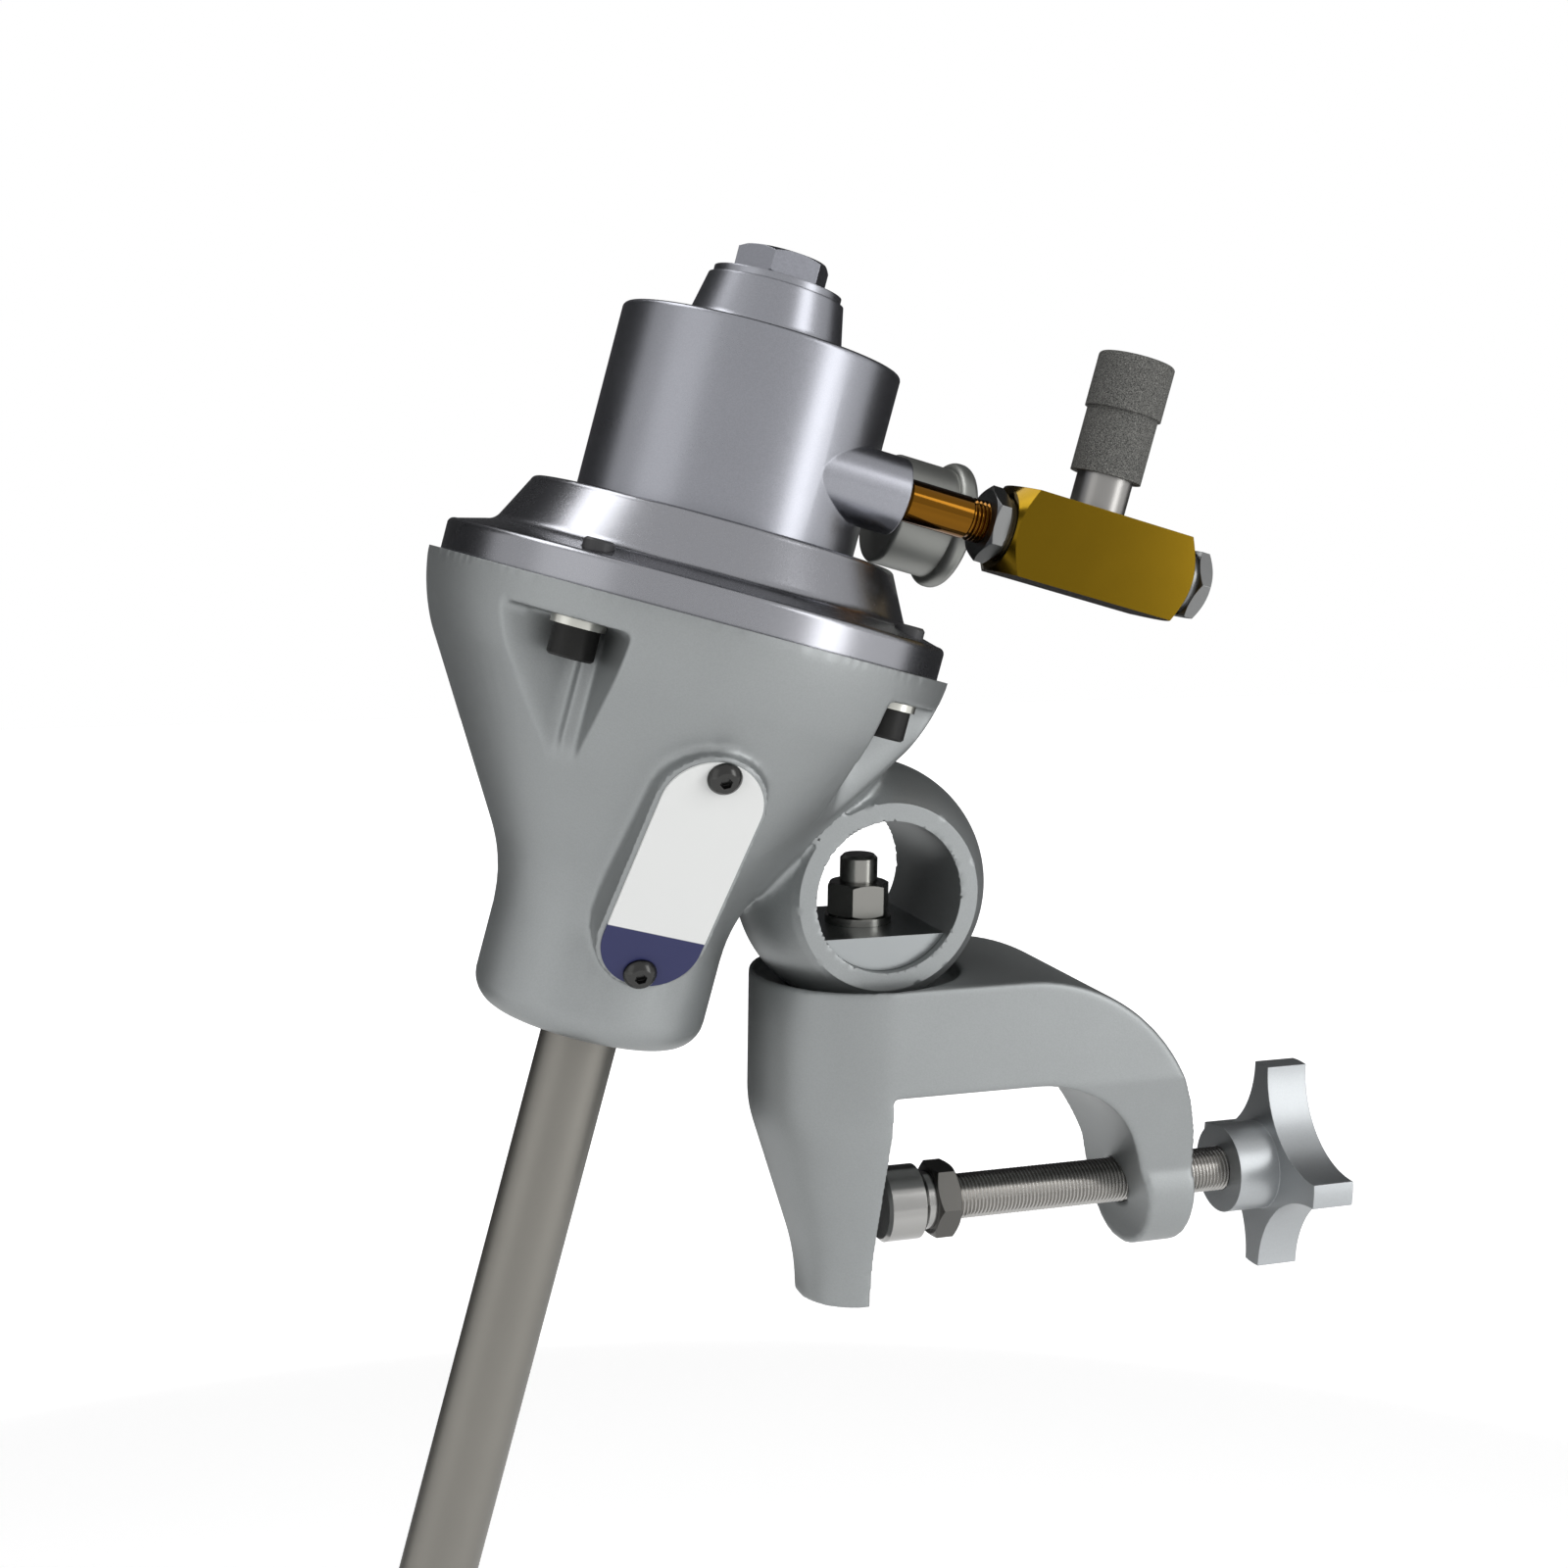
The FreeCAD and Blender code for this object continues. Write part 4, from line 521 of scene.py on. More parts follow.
bright_steel = metal("bright_steel", (0.36, 0.352, 0.338), 0.22, edge=0.15, lines=0.002, line_axis=SCREW)
pad_steel = metal("pad_steel", (0.29, 0.288, 0.28), 0.2, edge=0.4, lines=0.002, line_axis=SCREW)
nut_steel = metal("nut_steel", (0.085, 0.083, 0.078), 0.3, edge=0.35, marks=0.1)
washer_steel = metal("washer_steel", (0.50, 0.50, 0.46), 0.3, edge=0.25)
shaft_steel = metal("shaft_steel", (0.19, 0.183, 0.166), 0.45, edge=0.5, lines=0.002, line_axis=HEAD,
                    pitch=1800, marks=0.08)
ground_steel = metal("ground_steel", (0.55, 0.55, 0.55), 0.2, edge=0.3, lines=0.003, line_axis=HEAD)
valve_brass = metal("valve_brass", (0.122, 0.074, 0.0045), 0.16, edge=0.25, marks=0.05, tone=0.03)
pipe_brass = metal("pipe_brass", (0.135, 0.058, 0.006), 0.09, edge=0.15, marks=0.03, tone=0.04)
fitting_steel = metal("fitting_steel", (0.17, 0.173, 0.173), 0.3, edge=0.35, marks=0.08, bump=0.006,
                      grain=2000)
chrome_trim = metal("chrome_trim", (0.25, 0.245, 0.237), 0.33, edge=0.2, lines=0.002, line_axis=STEM)
muffler_tin = metal("muffler_tin", (0.265, 0.27, 0.255), 0.42, metallic=0.75, edge=0.5, marks=0.08,
                    lines=0.003, line_axis=EXHAUST, pitch=1500)
impeller_steel = metal("impeller_steel", (0.42, 0.42, 0.41), 0.3, grain=1200, bump=0.012, edge=0.8)
print("materials:", len(bpy.data.materials))


# %% [markdown]
# ## Blackened screws
# Black oxide is a thin dark layer with hardly any mirror in it. The flange screws' tips, which come
# through above the housing's rim, are cut clean and bright. A second material would need faces
# split at the cut, so one material changes its colour at the height of the rim instead.

# %% Finishes of the blackened screws
OXIDE_SPECULAR = 0.25


def mixed(tree, mask, first, second):
    """Colour that goes from first to second as the mask goes from 0 to 1."""
    return put(tree, "ShaderNodeMix", {"data_type": "RGBA"}, Factor=mask, n6=first, n7=second).outputs[2]


def bright_above(material, frame_matrix, colour):
    """Second colour above z = 0 of a frame, where a blackened screw's tip has been cut clean."""
    tree = material.node_tree
    base = tree.nodes["Principled BSDF"].inputs["Base Color"]
    parts = put(tree, "ShaderNodeSeparateXYZ", Vector=along_axis(tree, frame_matrix))
    above = put(tree, "ShaderNodeMath", {"operation": "GREATER_THAN"}, n0=parts.outputs["Z"], n1=0.0)
    tree.links.new(mixed(tree, above.outputs[0], base.links[0].from_socket, (*colour, 1.0)), base)


tipped_oxide = metal("tipped_oxide", (0.009, 0.009, 0.0085), 0.45, metallic=0.2, grain=1800, wave=300,
                     bump=0.03, spark=0.3, tone=0.3, edge=0.3)
bright_above(tipped_oxide, HEAD, (0.05, 0.05, 0.052))
for material in (black_oxide, tipped_oxide):
    shader = material.node_tree.nodes["Principled BSDF"]
    shader.inputs["Specular IOR Level"].default_value = OXIDE_SPECULAR
print("blackened:", black_oxide.name, tipped_oxide.name)


# %% [markdown]
# ## Grained knob, rubber, fibre, felt
# The valve's knob is a dark sintered sleeve: grey grains with darker pits between them. The seal,
# vanes and felt hardly show, yet each has the texture of its stuff. One maker of two-tone grains
# serves them all, because only the colours and the size of the grains differ.

# %% Materials that aren't plain metal
GRAIN_LOW, GRAIN_HIGH = 0.35, 0.62


def grained(name, dark, light, roughness, cells, bump, metallic=0.0):
    """Two-tone grains: the mask is noise between two limits, and it also drives the bump."""
    material, tree, shader = new_material(name)
    shader.inputs["Roughness"].default_value = roughness
    shader.inputs["Metallic"].default_value = metallic
    place = put(tree, "ShaderNodeTexCoord")
    noise = put(tree, "ShaderNodeTexNoise", Vector=place.outputs["Object"], Scale=cells, Detail=4.0,
                Roughness=0.65)
    mask = put(tree, "ShaderNodeMapRange", Value=noise.outputs["Fac"], From_Min=GRAIN_LOW,
               From_Max=GRAIN_HIGH)
    tree.links.new(mixed(tree, mask.outputs[0], (*dark, 1.0), (*light, 1.0)), shader.inputs["Base Color"])
    relief = put(tree, "ShaderNodeBump", Height=mask.outputs[0], Distance=bump * MM)
    tree.links.new(relief.outputs[0], shader.inputs["Normal"])
    return material


knob_grain = grained("knob_grain", (0.012, 0.013, 0.012), (0.225, 0.223, 0.208), 0.6, 2600.0, 0.2, 0.25)
felt = grained("felt", (0.42, 0.40, 0.35), (0.72, 0.70, 0.64), 0.95, 2500.0, 0.3)
rubber = grained("seal_rubber", (0.015, 0.015, 0.015), (0.035, 0.035, 0.035), 0.7, 1800.0, 0.03)
fibre = grained("vane_fibre", (0.12, 0.07, 0.035), (0.24, 0.16, 0.09), 0.6, 900.0, 0.05)
print("grained:", [m.name for m in (knob_grain, felt, rubber, fibre)])


# %% [markdown]
# ## Nameplate
# The plate is white enamel on aluminium with a navy band across its lower end. It stays bare: the
# rest of its face has only the soft gloss and the slight waviness of enamel. The plate leans with
# the housing's flank, so the band is cut along the plate's own length, not along Z.

# %% Nameplate enamel
PLATE_TILT = 24.0
PLATE_OUT, PLATE_DROP = 58.2, 76.2
BAND_PLACE = -21.4
BAND_SOFT = 0.12
NAVY = (0.03, 0.034, 0.11, 1.0)
ENAMEL_WHITE = (0.86, 0.87, 0.86, 1.0)
PLATE = (HEAD @ Matrix.Translation(Vector((0, -PLATE_OUT, -PLATE_DROP)) * MM)
         @ Matrix.Rotation(math.radians(90 + PLATE_TILT), 4, "X"))


def plate_enamel():
    """Navy to white: the mask goes from 0 to 1 along the plate, over BAND_SOFT each side of BAND_PLACE."""
    material, tree, shader = new_material("plate_enamel")
    shader.inputs["Roughness"].default_value = 0.32
    shader.inputs["Specular IOR Level"].default_value = 0.25
    parts = put(tree, "ShaderNodeSeparateXYZ", Vector=along_axis(tree, PLATE))
    mask = put(tree, "ShaderNodeMapRange", Value=parts.outputs["Y"], From_Min=(BAND_PLACE - BAND_SOFT) * MM,
               From_Max=(BAND_PLACE + BAND_SOFT) * MM)
    tree.links.new(mixed(tree, mask.outputs[0], NAVY, ENAMEL_WHITE), shader.inputs["Base Color"])
    skin = put(tree, "ShaderNodeGroup", {"node_tree": casting_skin}, Grain=700.0, Wave=120.0)
    edges = put(tree, "ShaderNodeBevel", {"samples": 4}, Radius=0.2 * MM)
    relief = put(tree, "ShaderNodeBump", Height=skin.outputs["Height"], Distance=0.008 * MM,
                 Normal=edges.outputs[0])
    tree.links.new(relief.outputs[0], shader.inputs["Normal"])
    return material


plate_white = plate_enamel()
print("nameplate:", plate_white.name)

# %% [markdown]
# ## Which piece wears which finish
# Pieces whose CAD shape is already right keep it and only change material. One table from finish to
# nodes reads more easily than a line for each node, and the print shows whether one was left out.

# %% Dress the CAD pieces
DRESS = {
    cast_grey: ("clamp_frame", "mixer_housing"),
    motor_grey: ("motor_casing", "boss_washer"),
    plate_grey: ("drive_end_plate",),
    dark_steel: ("swivel_stud", "stud_nut", "stud_washer", "bearing_retainer"),
    button_steel: ("nameplate_screws",),
    plug_steel: ("boss_plug",),
    saddle_steel: ("saddle_block",),
    black_oxide: ("casing_screws", "coupling_screws", "impeller_screw"),
    tipped_oxide: ("flange_screws",),
    washer_steel: ("flange_washers",),
    ground_steel: ("rotor", "upper_motor_bearing", "lower_motor_bearing", "upper_shaft_bearing",
                   "lower_shaft_bearing"),
    fitting_steel: ("lock_nut", "inlet_bushing", "exhaust_nipple", "shaft_coupling"),
    shaft_steel: ("mixing_shaft",),
    impeller_steel: ("impeller",),
    valve_brass: ("valve_body",),
    pipe_brass: ("inlet_nipple",),
    chrome_trim: ("valve_bonnet",),
    bright_steel: ("valve_needle", "clamp_screw"),
    pad_steel: ("clamp_pad",),
    nut_steel: ("pad_nut",),
    bright_alloy: ("screw_knob",),
    muffler_tin: ("muffler_shell",),
    knob_grain: ("valve_knob",),
    felt: ("muffler_element",),
    rubber: ("shaft_seal",),
    fibre: ("vanes",),
    plate_white: ("nameplate",),
}


def dress(obj, material):
    """Gives an object one material."""
    obj.data.materials.clear()
    obj.data.materials.append(material)


for material, names in DRESS.items():
    for name in names:
        dress(nodes[name], material)
undressed = sorted(set(nodes) - {name for names in DRESS.values() for name in names})
print("undressed nodes:", undressed)


# %% [markdown]
# ## Surfaces from grids
# Turned and threaded pieces are closed round an axis, so both can be a grid of points, with rows
# along the axis and columns round it. The Screw modifier could sweep a profile too, but numbers
# keep every radius and pitch exact.

# %% Mesh from a grid
MERGE = 1e-6


def grid_mesh(name, grid, frame_matrix, material, body, smooth_angle):
    """Closed mesh from a grid of points: neighbours in both directions make quads.

    The first and last columns lie on each other and are merged. Holes left at the ends are filled.
    """
    points = grid.reshape(-1, 3) @ np.array(frame_matrix.to_3x3()).T + np.array(frame_matrix.translation)
    mesh = bpy.data.meshes.new(name)
    mesh.from_pydata(points.tolist(), [], grid_quads(*grid.shape[:2]))
    tidy = bmesh.new()
    tidy.from_mesh(mesh)
    bmesh.ops.remove_doubles(tidy, verts=tidy.verts, dist=MERGE)
    bmesh.ops.dissolve_degenerate(tidy, edges=tidy.edges, dist=MERGE)
    bmesh.ops.holes_fill(tidy, edges=[edge for edge in tidy.edges if edge.is_boundary])
    bmesh.ops.recalc_face_normals(tidy, faces=tidy.faces)
    tidy.to_mesh(mesh)
    tidy.free()
    mesh.materials.append(material)
    mesh.shade_smooth()
    mesh.set_sharp_from_angle(angle=math.radians(smooth_angle))
    piece = link_object(bpy.data.objects.new(name, mesh))
    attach(piece, body)
    print(name, len(mesh.polygons), "faces")
    return piece


# %% [markdown]
# ## Turned and threaded surfaces
# A turned piece is a profile of radius and height swept round an axis. A thread is the same sweep
# with a climb: every point of the grid rises by one pitch in a full turn, so the crests and roots
# follow the mesh's own rows and stay crisp with only four rows in a pitch.

# %% Profiles and threads
def measure(node, axis):
    """Lowest and highest place of a node along an axis, and its largest distance from it, in millimetres."""
    place = np.array([axis.inverted() @ v.co for v in nodes[node].data.vertices]) / MM
    return place[:, 2].min(), place[:, 2].max(), np.hypot(place[:, 0], place[:, 1]).max()


def sweep(profile, columns):
    """Grid of a turned profile: x, y, z = r cos(a), r sin(a), h for each pair r, h and each angle a."""
    angle = np.linspace(0.0, 2 * np.pi, columns + 1)
    radius, height = np.asarray(profile, float).T[:, :, None]
    return np.stack([radius * np.cos(angle), radius * np.sin(angle),
                     np.broadcast_to(height, (len(profile), columns + 1))], axis=-1) * MM


THREAD_ROWS = ((0.0, 1.0), (0.14, 1.0), (0.50, 0.0), (0.62, 0.0))
THREAD_COLUMNS = 48


def thread_grid(start, end, crest, root, pitch, lead):
    """Grid of a thread: h = start + pitch * (row phase + a / 2 pi), r = root + share * (crest - root).

    THREAD_ROWS holds the phase and the share of each row in a pitch. Heights are held between start
    and end, and the radius falls to the root over lead at both ends.
    """
    turns = int(np.ceil((end - start) / pitch)) + 2
    phase = np.array([p for p, _ in THREAD_ROWS])
    share = np.array([s for _, s in THREAD_ROWS])
    rows = (np.arange(-1, turns)[:, None] + phase).ravel()
    shares = np.tile(share, turns + 1)
    angle = np.linspace(0.0, 2 * np.pi, THREAD_COLUMNS + 1)
    height = start + pitch * (rows[:, None] + angle / (2 * np.pi))
    held = np.clip(height, start, end)
    room = np.minimum(held - start, end - held) / lead
    radius = root + np.minimum(shares[:, None] * (crest - root), np.clip(room, 0, 1) * (crest - root))
    return np.stack([radius * np.cos(angle), radius * np.sin(angle), held], axis=-1) * MM


print("rows in a pitch:", len(THREAD_ROWS))


# %% [markdown]
# ## Clamp screw
# The screw is a 5/8 inch rod with 18 threads to the inch, so its pitch is 1.411 mm. On the real one
# the crests are slightly flat and the roots dark, which real geometry gives by itself.

# %% Threaded clamp screw
INCH = 25.4
SCREW_PITCH = INCH / 18
THREAD_DEPTH = 0.85
screw_start, screw_end, screw_radius = measure("clamp_screw", SCREW)
screw_thread = grid_mesh(
    "screw_thread",
    thread_grid(screw_start, screw_end, screw_radius, screw_radius - THREAD_DEPTH, SCREW_PITCH, lead=1.2),
    SCREW, bright_steel, "screw", smooth_angle=25.0)
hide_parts("clamp_screw")

# %% [markdown]
# ## Pipe nipples
# A pipe nipple is cut with a thread at both ends and stays smooth between them. The inlet's nipple is
# polished brass, and it shows a few turns beside the lock nut.

# %% Threaded pipe nipples
PIPE_PITCH = INCH / 18
PIPE_DEPTH = 0.75
PIPE_LEAD = 0.9


def pipe_nipple(name, node, axis, body, material, thread_in, thread_out):
    """Nipple: thread, smooth middle, thread, on one radius, between the ends of its CAD node."""
    start, end, crest = measure(node, axis)
    root = crest - PIPE_DEPTH
    inner, outer = start + thread_in, end - thread_out
    first = thread_grid(start, inner, crest, root, PIPE_PITCH, PIPE_LEAD)
    last = thread_grid(outer, end, crest, root, PIPE_PITCH, PIPE_LEAD)
    middle = sweep([(root, inner), (crest, inner + PIPE_DEPTH), (crest, outer - PIPE_DEPTH), (root, outer)],
                   THREAD_COLUMNS)
    piece = grid_mesh(name, np.concatenate([first, middle, last]), axis, material, body, smooth_angle=28.0)
    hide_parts(node)


pipe_nipple("inlet_pipe", "inlet_nipple", INLET, "head", pipe_brass, 16.6, 21.6)
pipe_nipple("exhaust_pipe", "exhaust_nipple", EXHAUST, "head", fitting_steel, 16.0, 8.0)

# %% [markdown]
# ## Cast skins
# A sand casting has no sharp edges: every corner is a small round and every inside corner a fillet.
# The CAD solid gives the exact form with crisp edges. Here its copy is remeshed into small even
# squares, and then each point moves a little towards the middle of its neighbours, again and again.
# That rounds edges and fills inside corners, as a foundry's pattern does. Machined faces keep their
# crisp edges: there the points move less, and they are put back on their planes and circles.

# %% Even squares and rounding
def even_skin(node, axis, voxel):
    """Copy of a CAD node's mesh, remeshed to a voxel size in its own frame."""
    mesh = nodes[node].data.copy()
    mesh.transform(axis.inverted())
    merged = bmesh.new()
    merged.from_mesh(mesh)
    bmesh.ops.remove_doubles(merged, verts=merged.verts, dist=MERGE)
    merged.to_mesh(mesh)
    merged.free()
    shell = link_object(bpy.data.objects.new(node + "_even", mesh))
    remesh = shell.modifiers.new("even", "REMESH")
    remesh.mode, remesh.voxel_size = "VOXEL", voxel * MM
    remesh.adaptivity = 0.0
    result = evaluated_mesh(shell)
    bpy.data.objects.remove(shell)
    return result


def evaluated_mesh(obj):
    """Mesh of an object after its modifiers."""
    bpy.context.view_layer.update()
    return bpy.data.meshes.new_from_object(obj.evaluated_get(bpy.context.evaluated_depsgraph_get()))


def relax(points, edges, weight, rounds):
    """Moves each point by its weight towards its neighbours' mean, again and again."""
    counts = np.bincount(edges.ravel(), minlength=len(points)).astype(float)[:, None]
    for _ in range(rounds):
        total = np.zeros_like(points)
        for axis in range(3):
            total[:, axis] = (np.bincount(edges[:, 0], points[edges[:, 1], axis], len(points))
                              + np.bincount(edges[:, 1], points[edges[:, 0], axis], len(points)))
        points = points + weight[:, None] * (total / counts - points)
    return points


def read_array(items, field, width, kind=float):
    """Values of one field of a mesh's points or edges, as rows of an array."""
    values = np.empty(len(items) * width, kind)
    items.foreach_get(field, values)
    return values.reshape(-1, width)


print("relaxing helpers ready")


# %% [markdown]
# ## Fewer faces where nobody looks
# Small squares all over the bell housing would be more faces than one piece should have. The inside
# of the bell is closed off by the motor and the seal, so its faces are merged until there are few
# enough, and every face that shows stays as it is.

# %% Thin out the hidden faces
MOST_TRIANGLES = 190000
HIDDEN_PULL = 1000.0


def thin_out(piece, hidden):
    """Merges faces among the hidden points until the piece is under MOST_TRIANGLES."""
    triangles = 2 * len(piece.data.polygons)
    if triangles <= MOST_TRIANGLES:
        return
    group = piece.vertex_groups.new(name="hidden")
    group.add(np.flatnonzero(hidden).tolist(), 1.0, "REPLACE")
    fewer = piece.modifiers.new("fewer", "DECIMATE")
    fewer.ratio = MOST_TRIANGLES / triangles
    fewer.vertex_group = "hidden"
    fewer.vertex_group_factor = HIDDEN_PULL
    thinned = evaluated_mesh(piece)
    piece.modifiers.clear()
    piece.vertex_groups.clear()
    piece.data = thinned


print("most triangles:", MOST_TRIANGLES)


# %% [markdown]
# ## Making a skin
# A skin is made in the node's own frame. One light pass takes away the steps of the squares, a few
# more make the rounds, and the machined faces come last. A Bevel modifier would be simpler, but it
# fails where one round runs into another, and a casting is full of such places.

# %% Make a cast skin
SHARP_ANGLE = math.radians(38)
EVEN_WEIGHT, ROUND_WEIGHT = 0.5, 0.6
ROUNDS, BLEND_ROUNDS = 3, 40


def cast_skin(name, node, body, axis, voxel, crisp, flat, hidden=None, blend=None):
    """Softened casting that stands for a node. crisp(points) is near 1 where edges stay sharp.

    flat(points, normals) puts the points of machined faces back on their planes, and blend(points) is near 1
    where two forms run into each other and are smoothed a good deal more. hidden(points) is true for
    points that nobody sees, where faces can be saved. All four work in millimetres.
    """
    mesh = even_skin(node, axis, voxel)
    points = read_array(mesh.vertices, "co", 3)
    edges = read_array(mesh.edges, "vertices", 2, int)
    points = relax(points, edges, np.full(len(points), EVEN_WEIGHT), 1)
    points = relax(points, edges, ROUND_WEIGHT * (1.0 - crisp(points / MM)), ROUNDS)
    if blend:
        points = relax(points, edges, ROUND_WEIGHT * blend(points / MM), BLEND_ROUNDS)
    mesh.vertices.foreach_set("co", points.ravel())
    normals = read_array(mesh.vertex_normals, "vector", 3)
    mesh.vertices.foreach_set("co", (flat(points / MM, normals) * MM).ravel())
    mesh.transform(axis)
    mesh.materials.clear()
    mesh.materials.append(cast_grey)
    mesh.shade_smooth()
    mesh.set_sharp_from_angle(angle=SHARP_ANGLE)
    piece = link_object(bpy.data.objects.new(name, mesh))
    if hidden:
        thin_out(piece, hidden(points / MM))
    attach(piece, body)
    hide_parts(node)
    print(name, len(piece.data.polygons), "faces")


print("sharp above", round(math.degrees(SHARP_ANGLE)), "degrees")


# %% [markdown]
# ## The housing's forms
# The skin has to know where the housing is machined and where two forms run into each other. These
# sizes say where its ball, its four screw pockets and its nameplate lie, in the head's own frame and
# in millimetres. The ball's faces and bore are turned, so their edges are true circles.

# %% Places on the housing
BALL_REACH, BALL_DROP, BALL_HALF, BALL_BORE, BALL_RADIUS = 81.15, 71.96, 28.5, 25.2, 42.2
BALL_EDGE = math.sqrt(BALL_RADIUS**2 - BALL_HALF**2)
NECK_RADIUS, NECK_REACH, NECK_HALF_WIDTH, NECK_START, NECK_END = 44.0, 14.0, 45.0, 33.5, 10.0
BELL_RADIUS = 44.0
POCKET_APEX, POCKET_SPREAD, POCKET_TOP, POCKET_FOOT = 58.4, 0.96, -9.5, -62.0
BOLT_ANGLE = math.radians(48.0)
RIB_IN, RIB_OUT = 46.0, 70.0
PLATE_HALF_SPAN, LAND_RADIUS = 25.3, 17.35
BELL_INSIDE, BELL_FLOOR = 42.0, -136.0
print("ball face: circles of", BALL_BORE, "and", round(BALL_EDGE, 2), "mm")


# %% [markdown]
# ## Softer places of the housing
# Where the ball's neck runs into the bell, and beside the ribs in the screw pockets, the foundry's
# pattern has a large soft fillet, and the CAD solid has a crease. More rounds of the same smoothing
# melt the crease away, in a zone that fades out at its border.

# %% Where the housing is smoothed more
def near(distance, reach):
    """1 where a distance is zero, falling in a straight line to 0 at reach."""
    return np.clip(1.0 - np.abs(distance) / reach, 0.0, 1.0)


def from_ball(x, z):
    """Distance from the axis of the ball's bore."""
    return np.hypot(x - BALL_REACH, z + BALL_DROP)


def pocket_frame(x, y):
    """Distance outward and distance sideways from the nearest of the four screw pockets' middles."""
    turn = np.arctan2(y, x) - BOLT_ANGLE
    turn = (turn + math.pi / 4) % (math.pi / 2) - math.pi / 4
    radius = np.hypot(x, y)
    return radius * np.cos(turn), np.abs(radius * np.sin(turn))


def housing_blend(points):
    """Where the ball's neck runs into the bell, and beside the ribs in the screw pockets."""
    x, y, z = points.T
    ball = from_ball(x, z)
    neck = near(ball - NECK_RADIUS, NECK_REACH) * (ball > NECK_START) * (np.hypot(x, y) > BELL_RADIUS)
    neck = neck * (np.abs(y) < NECK_HALF_WIDTH) * (x < BALL_REACH - NECK_END)
    outward, sideways = pocket_frame(x, y)
    rib = near(sideways - 2.0, 4.0) * (outward > RIB_IN) * (outward < RIB_OUT)
    rib = rib * near(z - (POCKET_TOP + POCKET_FOOT) / 2, (POCKET_TOP - POCKET_FOOT) / 2 - 3.0) ** 0.3
    return np.clip(1.5 * np.maximum(neck, 0.4 * rib), 0.0, 1.0)


def housing_hidden(points):
    """Inside of the bell, closed off by the plate above and the seal below."""
    x, y, z = points.T
    return (np.hypot(x, y) < BELL_INSIDE - 1.0) & (z > BELL_FLOOR + 6.0) & (z < -2.0)


print("neck blend reaches", NECK_REACH, "mm")


# %% [markdown]
# ## Machined places of the housing
# The rim, the bores and the ball's side faces are cut after casting, so their edges are sharp and
# their faces true. Smoothing is held off there, and points that still end a few tenths of a
# millimetre out go back on the exact plane, circle or cylinder.

# %% Where the housing is machined
FACE_RADIUS, FACE_LEAN, BORE_LEAN = 33.0, 0.45, 0.85
FACE_REACH, EDGE_REACH = 0.75, 0.5


def snapped(value, plane, reach):
    """Values within reach of a plane, put onto it."""
    return np.where(np.abs(value - plane) < reach, plane, value)


def housing_flat(points, normals):
    """Rim and ball faces of the housing, back on their planes z = 0 and |y| = BALL_HALF.

    The bore goes back on radius BALL_BORE, and each ball face's outer edge on its circle, of radius
    BALL_EDGE = sqrt(BALL_RADIUS^2 - BALL_HALF^2).
    """
    x, y, z = points.T
    z = snapped(z, 0.0, FACE_REACH)
    ball = from_ball(x, z)
    lean = np.abs(normals[:, 1])
    face = (ball < FACE_RADIUS) & (lean > FACE_LEAN)
    y = np.where(face, np.sign(y) * snapped(np.abs(y), BALL_HALF, FACE_REACH), y)
    rim = (np.abs(ball - BALL_EDGE) < EDGE_REACH) & (np.abs(np.abs(y) - BALL_HALF) < 1.1 * EDGE_REACH)
    bore = (np.abs(ball - BALL_BORE) < FACE_REACH) & (lean < BORE_LEAN) & (np.abs(y) < BALL_HALF + 0.1)
    radius = np.where(rim, BALL_EDGE, np.where(bore, BALL_BORE, ball))
    scale = radius / np.maximum(ball, 1e-6)
    x = BALL_REACH + (x - BALL_REACH) * scale
    z = (z + BALL_DROP) * scale - BALL_DROP
    y = np.where(rim, np.sign(y) * BALL_HALF, y)
    return np.stack([x, y, z], axis=-1)


def in_plate(points):
    """Points of the head's frame in the nameplate's own frame, both in millimetres."""
    turn = np.array((HEAD.inverted() @ PLATE).to_3x3())
    return (points - (0.0, -PLATE_OUT, -PLATE_DROP)) @ turn


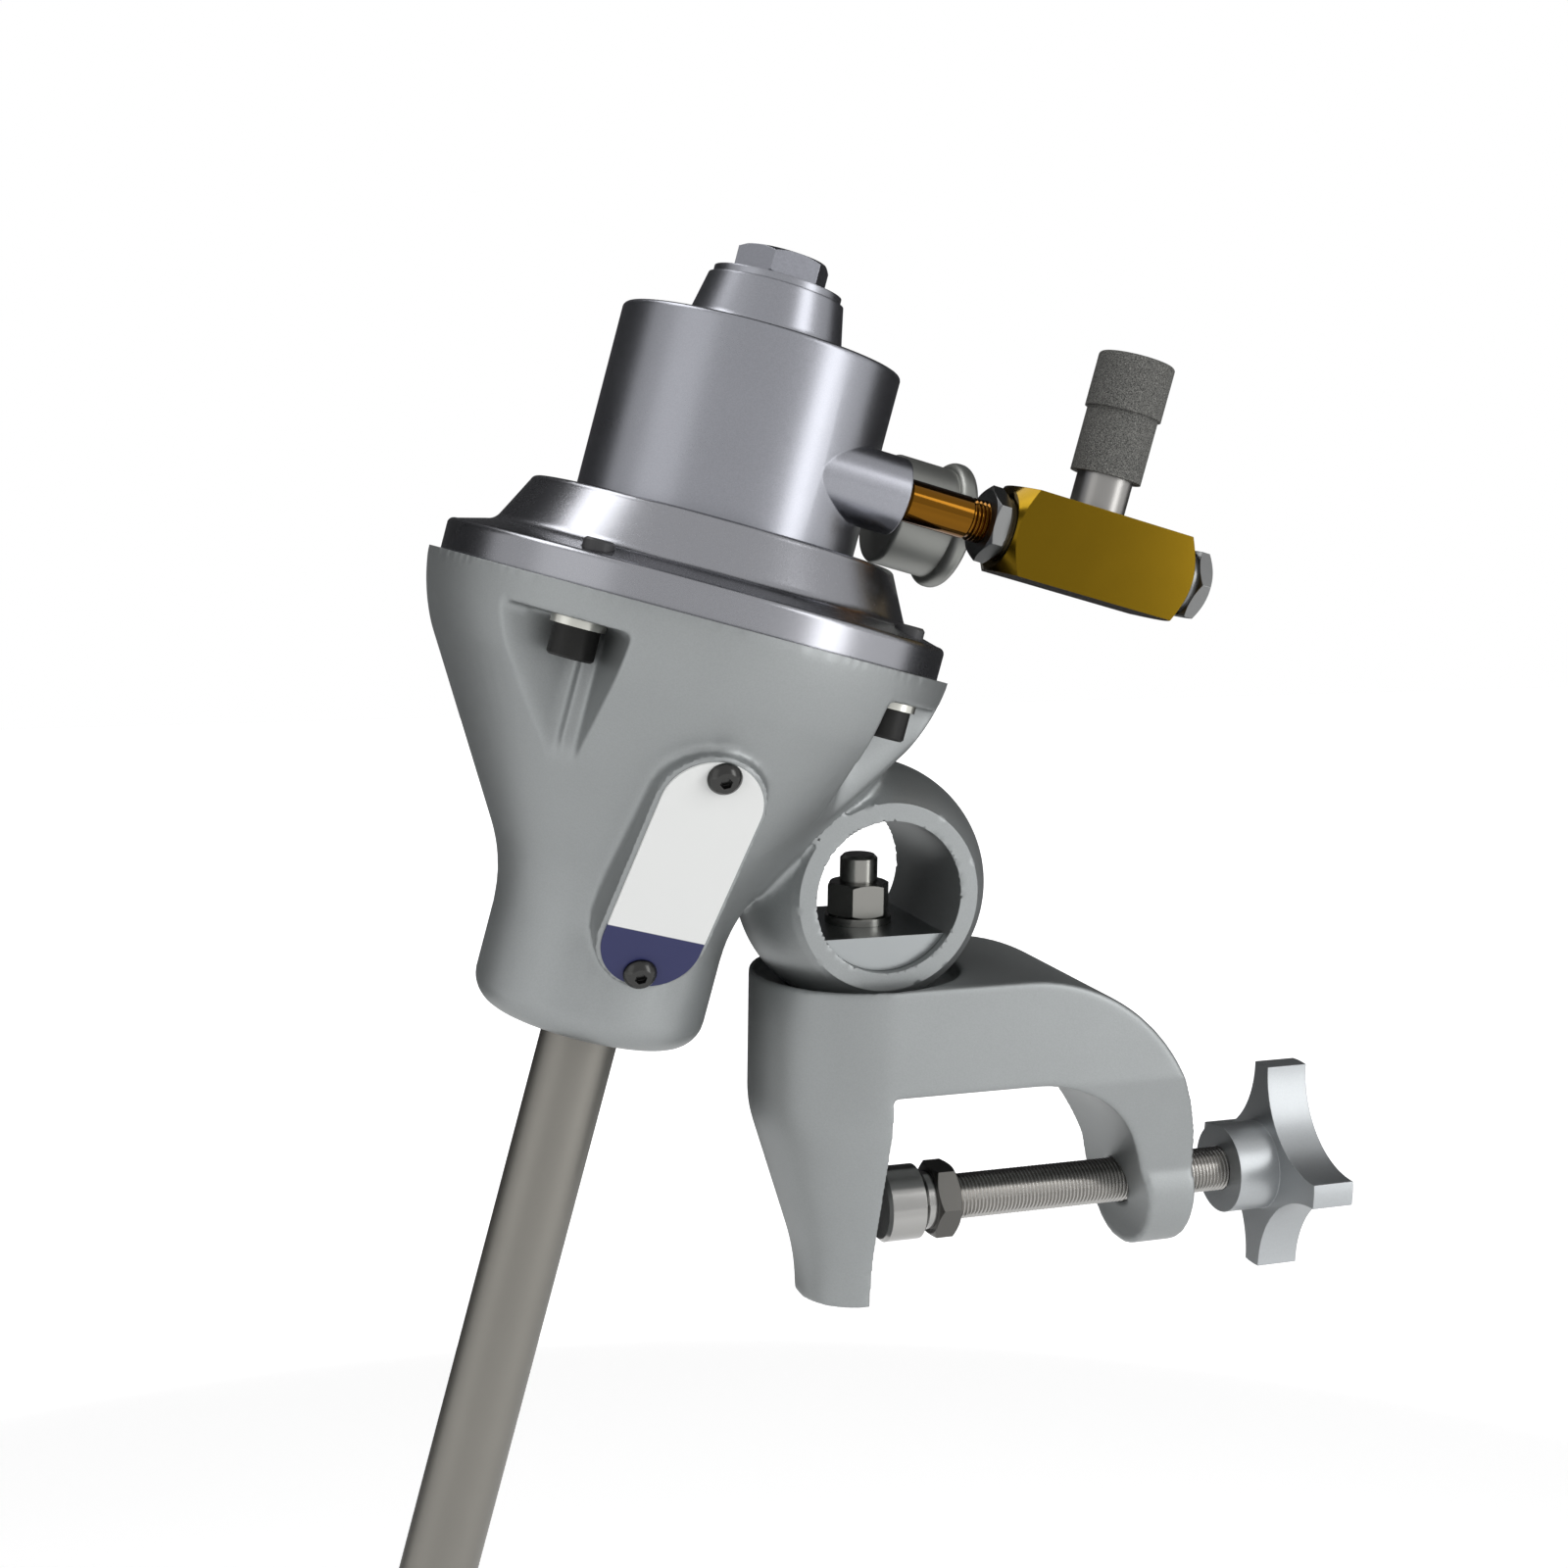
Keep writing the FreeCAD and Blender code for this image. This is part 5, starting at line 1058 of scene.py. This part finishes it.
def housing_crisp(points):
    """Machined places of the housing: its rim, its inside, and the ball's faces and bore.

    The walls and roofs of the screw pockets and the nameplate's land stay crisp as well.
    """
    x, y, z = points.T
    inside = (np.hypot(x, y) < BELL_INSIDE).astype(float) * (z > BELL_FLOOR)
    ball = from_ball(x, z)
    rim = near(z, 2.5)
    faces = near(np.abs(y) - BALL_HALF, 3.0) * (np.abs(ball - 29.0) < 5.5) * 0.7
    bore = near(ball - BALL_BORE, 3.0) * 0.7
    outward, sideways = pocket_frame(x, y)
    from_wall = (sideways - (outward - POCKET_APEX) * POCKET_SPREAD) / math.hypot(1.0, POCKET_SPREAD)
    high = (z > POCKET_FOOT) & (z < POCKET_TOP + 2.0) & (outward > POCKET_APEX)
    walls = near(from_wall, 3.0) * high * (sideways > 4.5)
    roof = near(z - POCKET_TOP, 3.0) * (from_wall < 2.0) * high
    across, along, up = in_plate(points).T
    outline = np.hypot(across, np.maximum(np.abs(along) - PLATE_HALF_SPAN, 0.0))
    land = near(up, 3.0) * (outline < LAND_RADIUS + 2.0)
    return np.clip(1.3 * np.maximum.reduce([inside, rim, faces, bore, walls, roof, land]), 0.0, 1.0)


cast_skin("housing_skin", "mixer_housing", "head", HEAD, 1.15, housing_crisp, housing_flat,
          housing_hidden, housing_blend)


# %% [markdown]
# ## The clamp's forms
# Only three places of the clamp are machined: the jaw face at x = 0, the socket that the ball sits
# in, and the screw's hole in the lug. Everything else is as cast.

# %% Clamp skin
JAW_TOP = 47.0
SOCKET_RADIUS, SOCKET_FLOOR = 34.0, 60.0
HOLE_RADIUS, LUG_START = 7.96, 95.0


def clamp_flat(points, normals):
    """Jaw face of the clamp, back on x = 0."""
    x, y, z = points.T
    jaw = (z < JAW_TOP) & (np.abs(normals[:, 0]) > 0.5)
    return np.stack([np.where(jaw, snapped(x, 0.0, 0.6), x), y, z], axis=-1)


def clamp_crisp(points):
    """Machined places of the clamp: the jaw face, the ball's socket and the screw's hole."""
    x, y, z = points.T
    jaw = near(x, 1.2) * (z < JAW_TOP) * 0.7
    socket = ((np.hypot(x, y) < SOCKET_RADIUS) & (z > SOCKET_FLOOR)).astype(float) * 0.6
    hole = near(np.hypot(y, z) - HOLE_RADIUS, 1.5) * (x > LUG_START)
    return np.clip(np.maximum.reduce([jaw, socket, hole]), 0.0, 1.0)


cast_skin("clamp_skin", "clamp_frame", "clamp", WORLD, 0.85, clamp_crisp, clamp_flat)


# %% [markdown]
# ## Finish
# The render keeps plain colours.

# %% Finish
bpy.context.scene.view_settings.view_transform = "Standard"
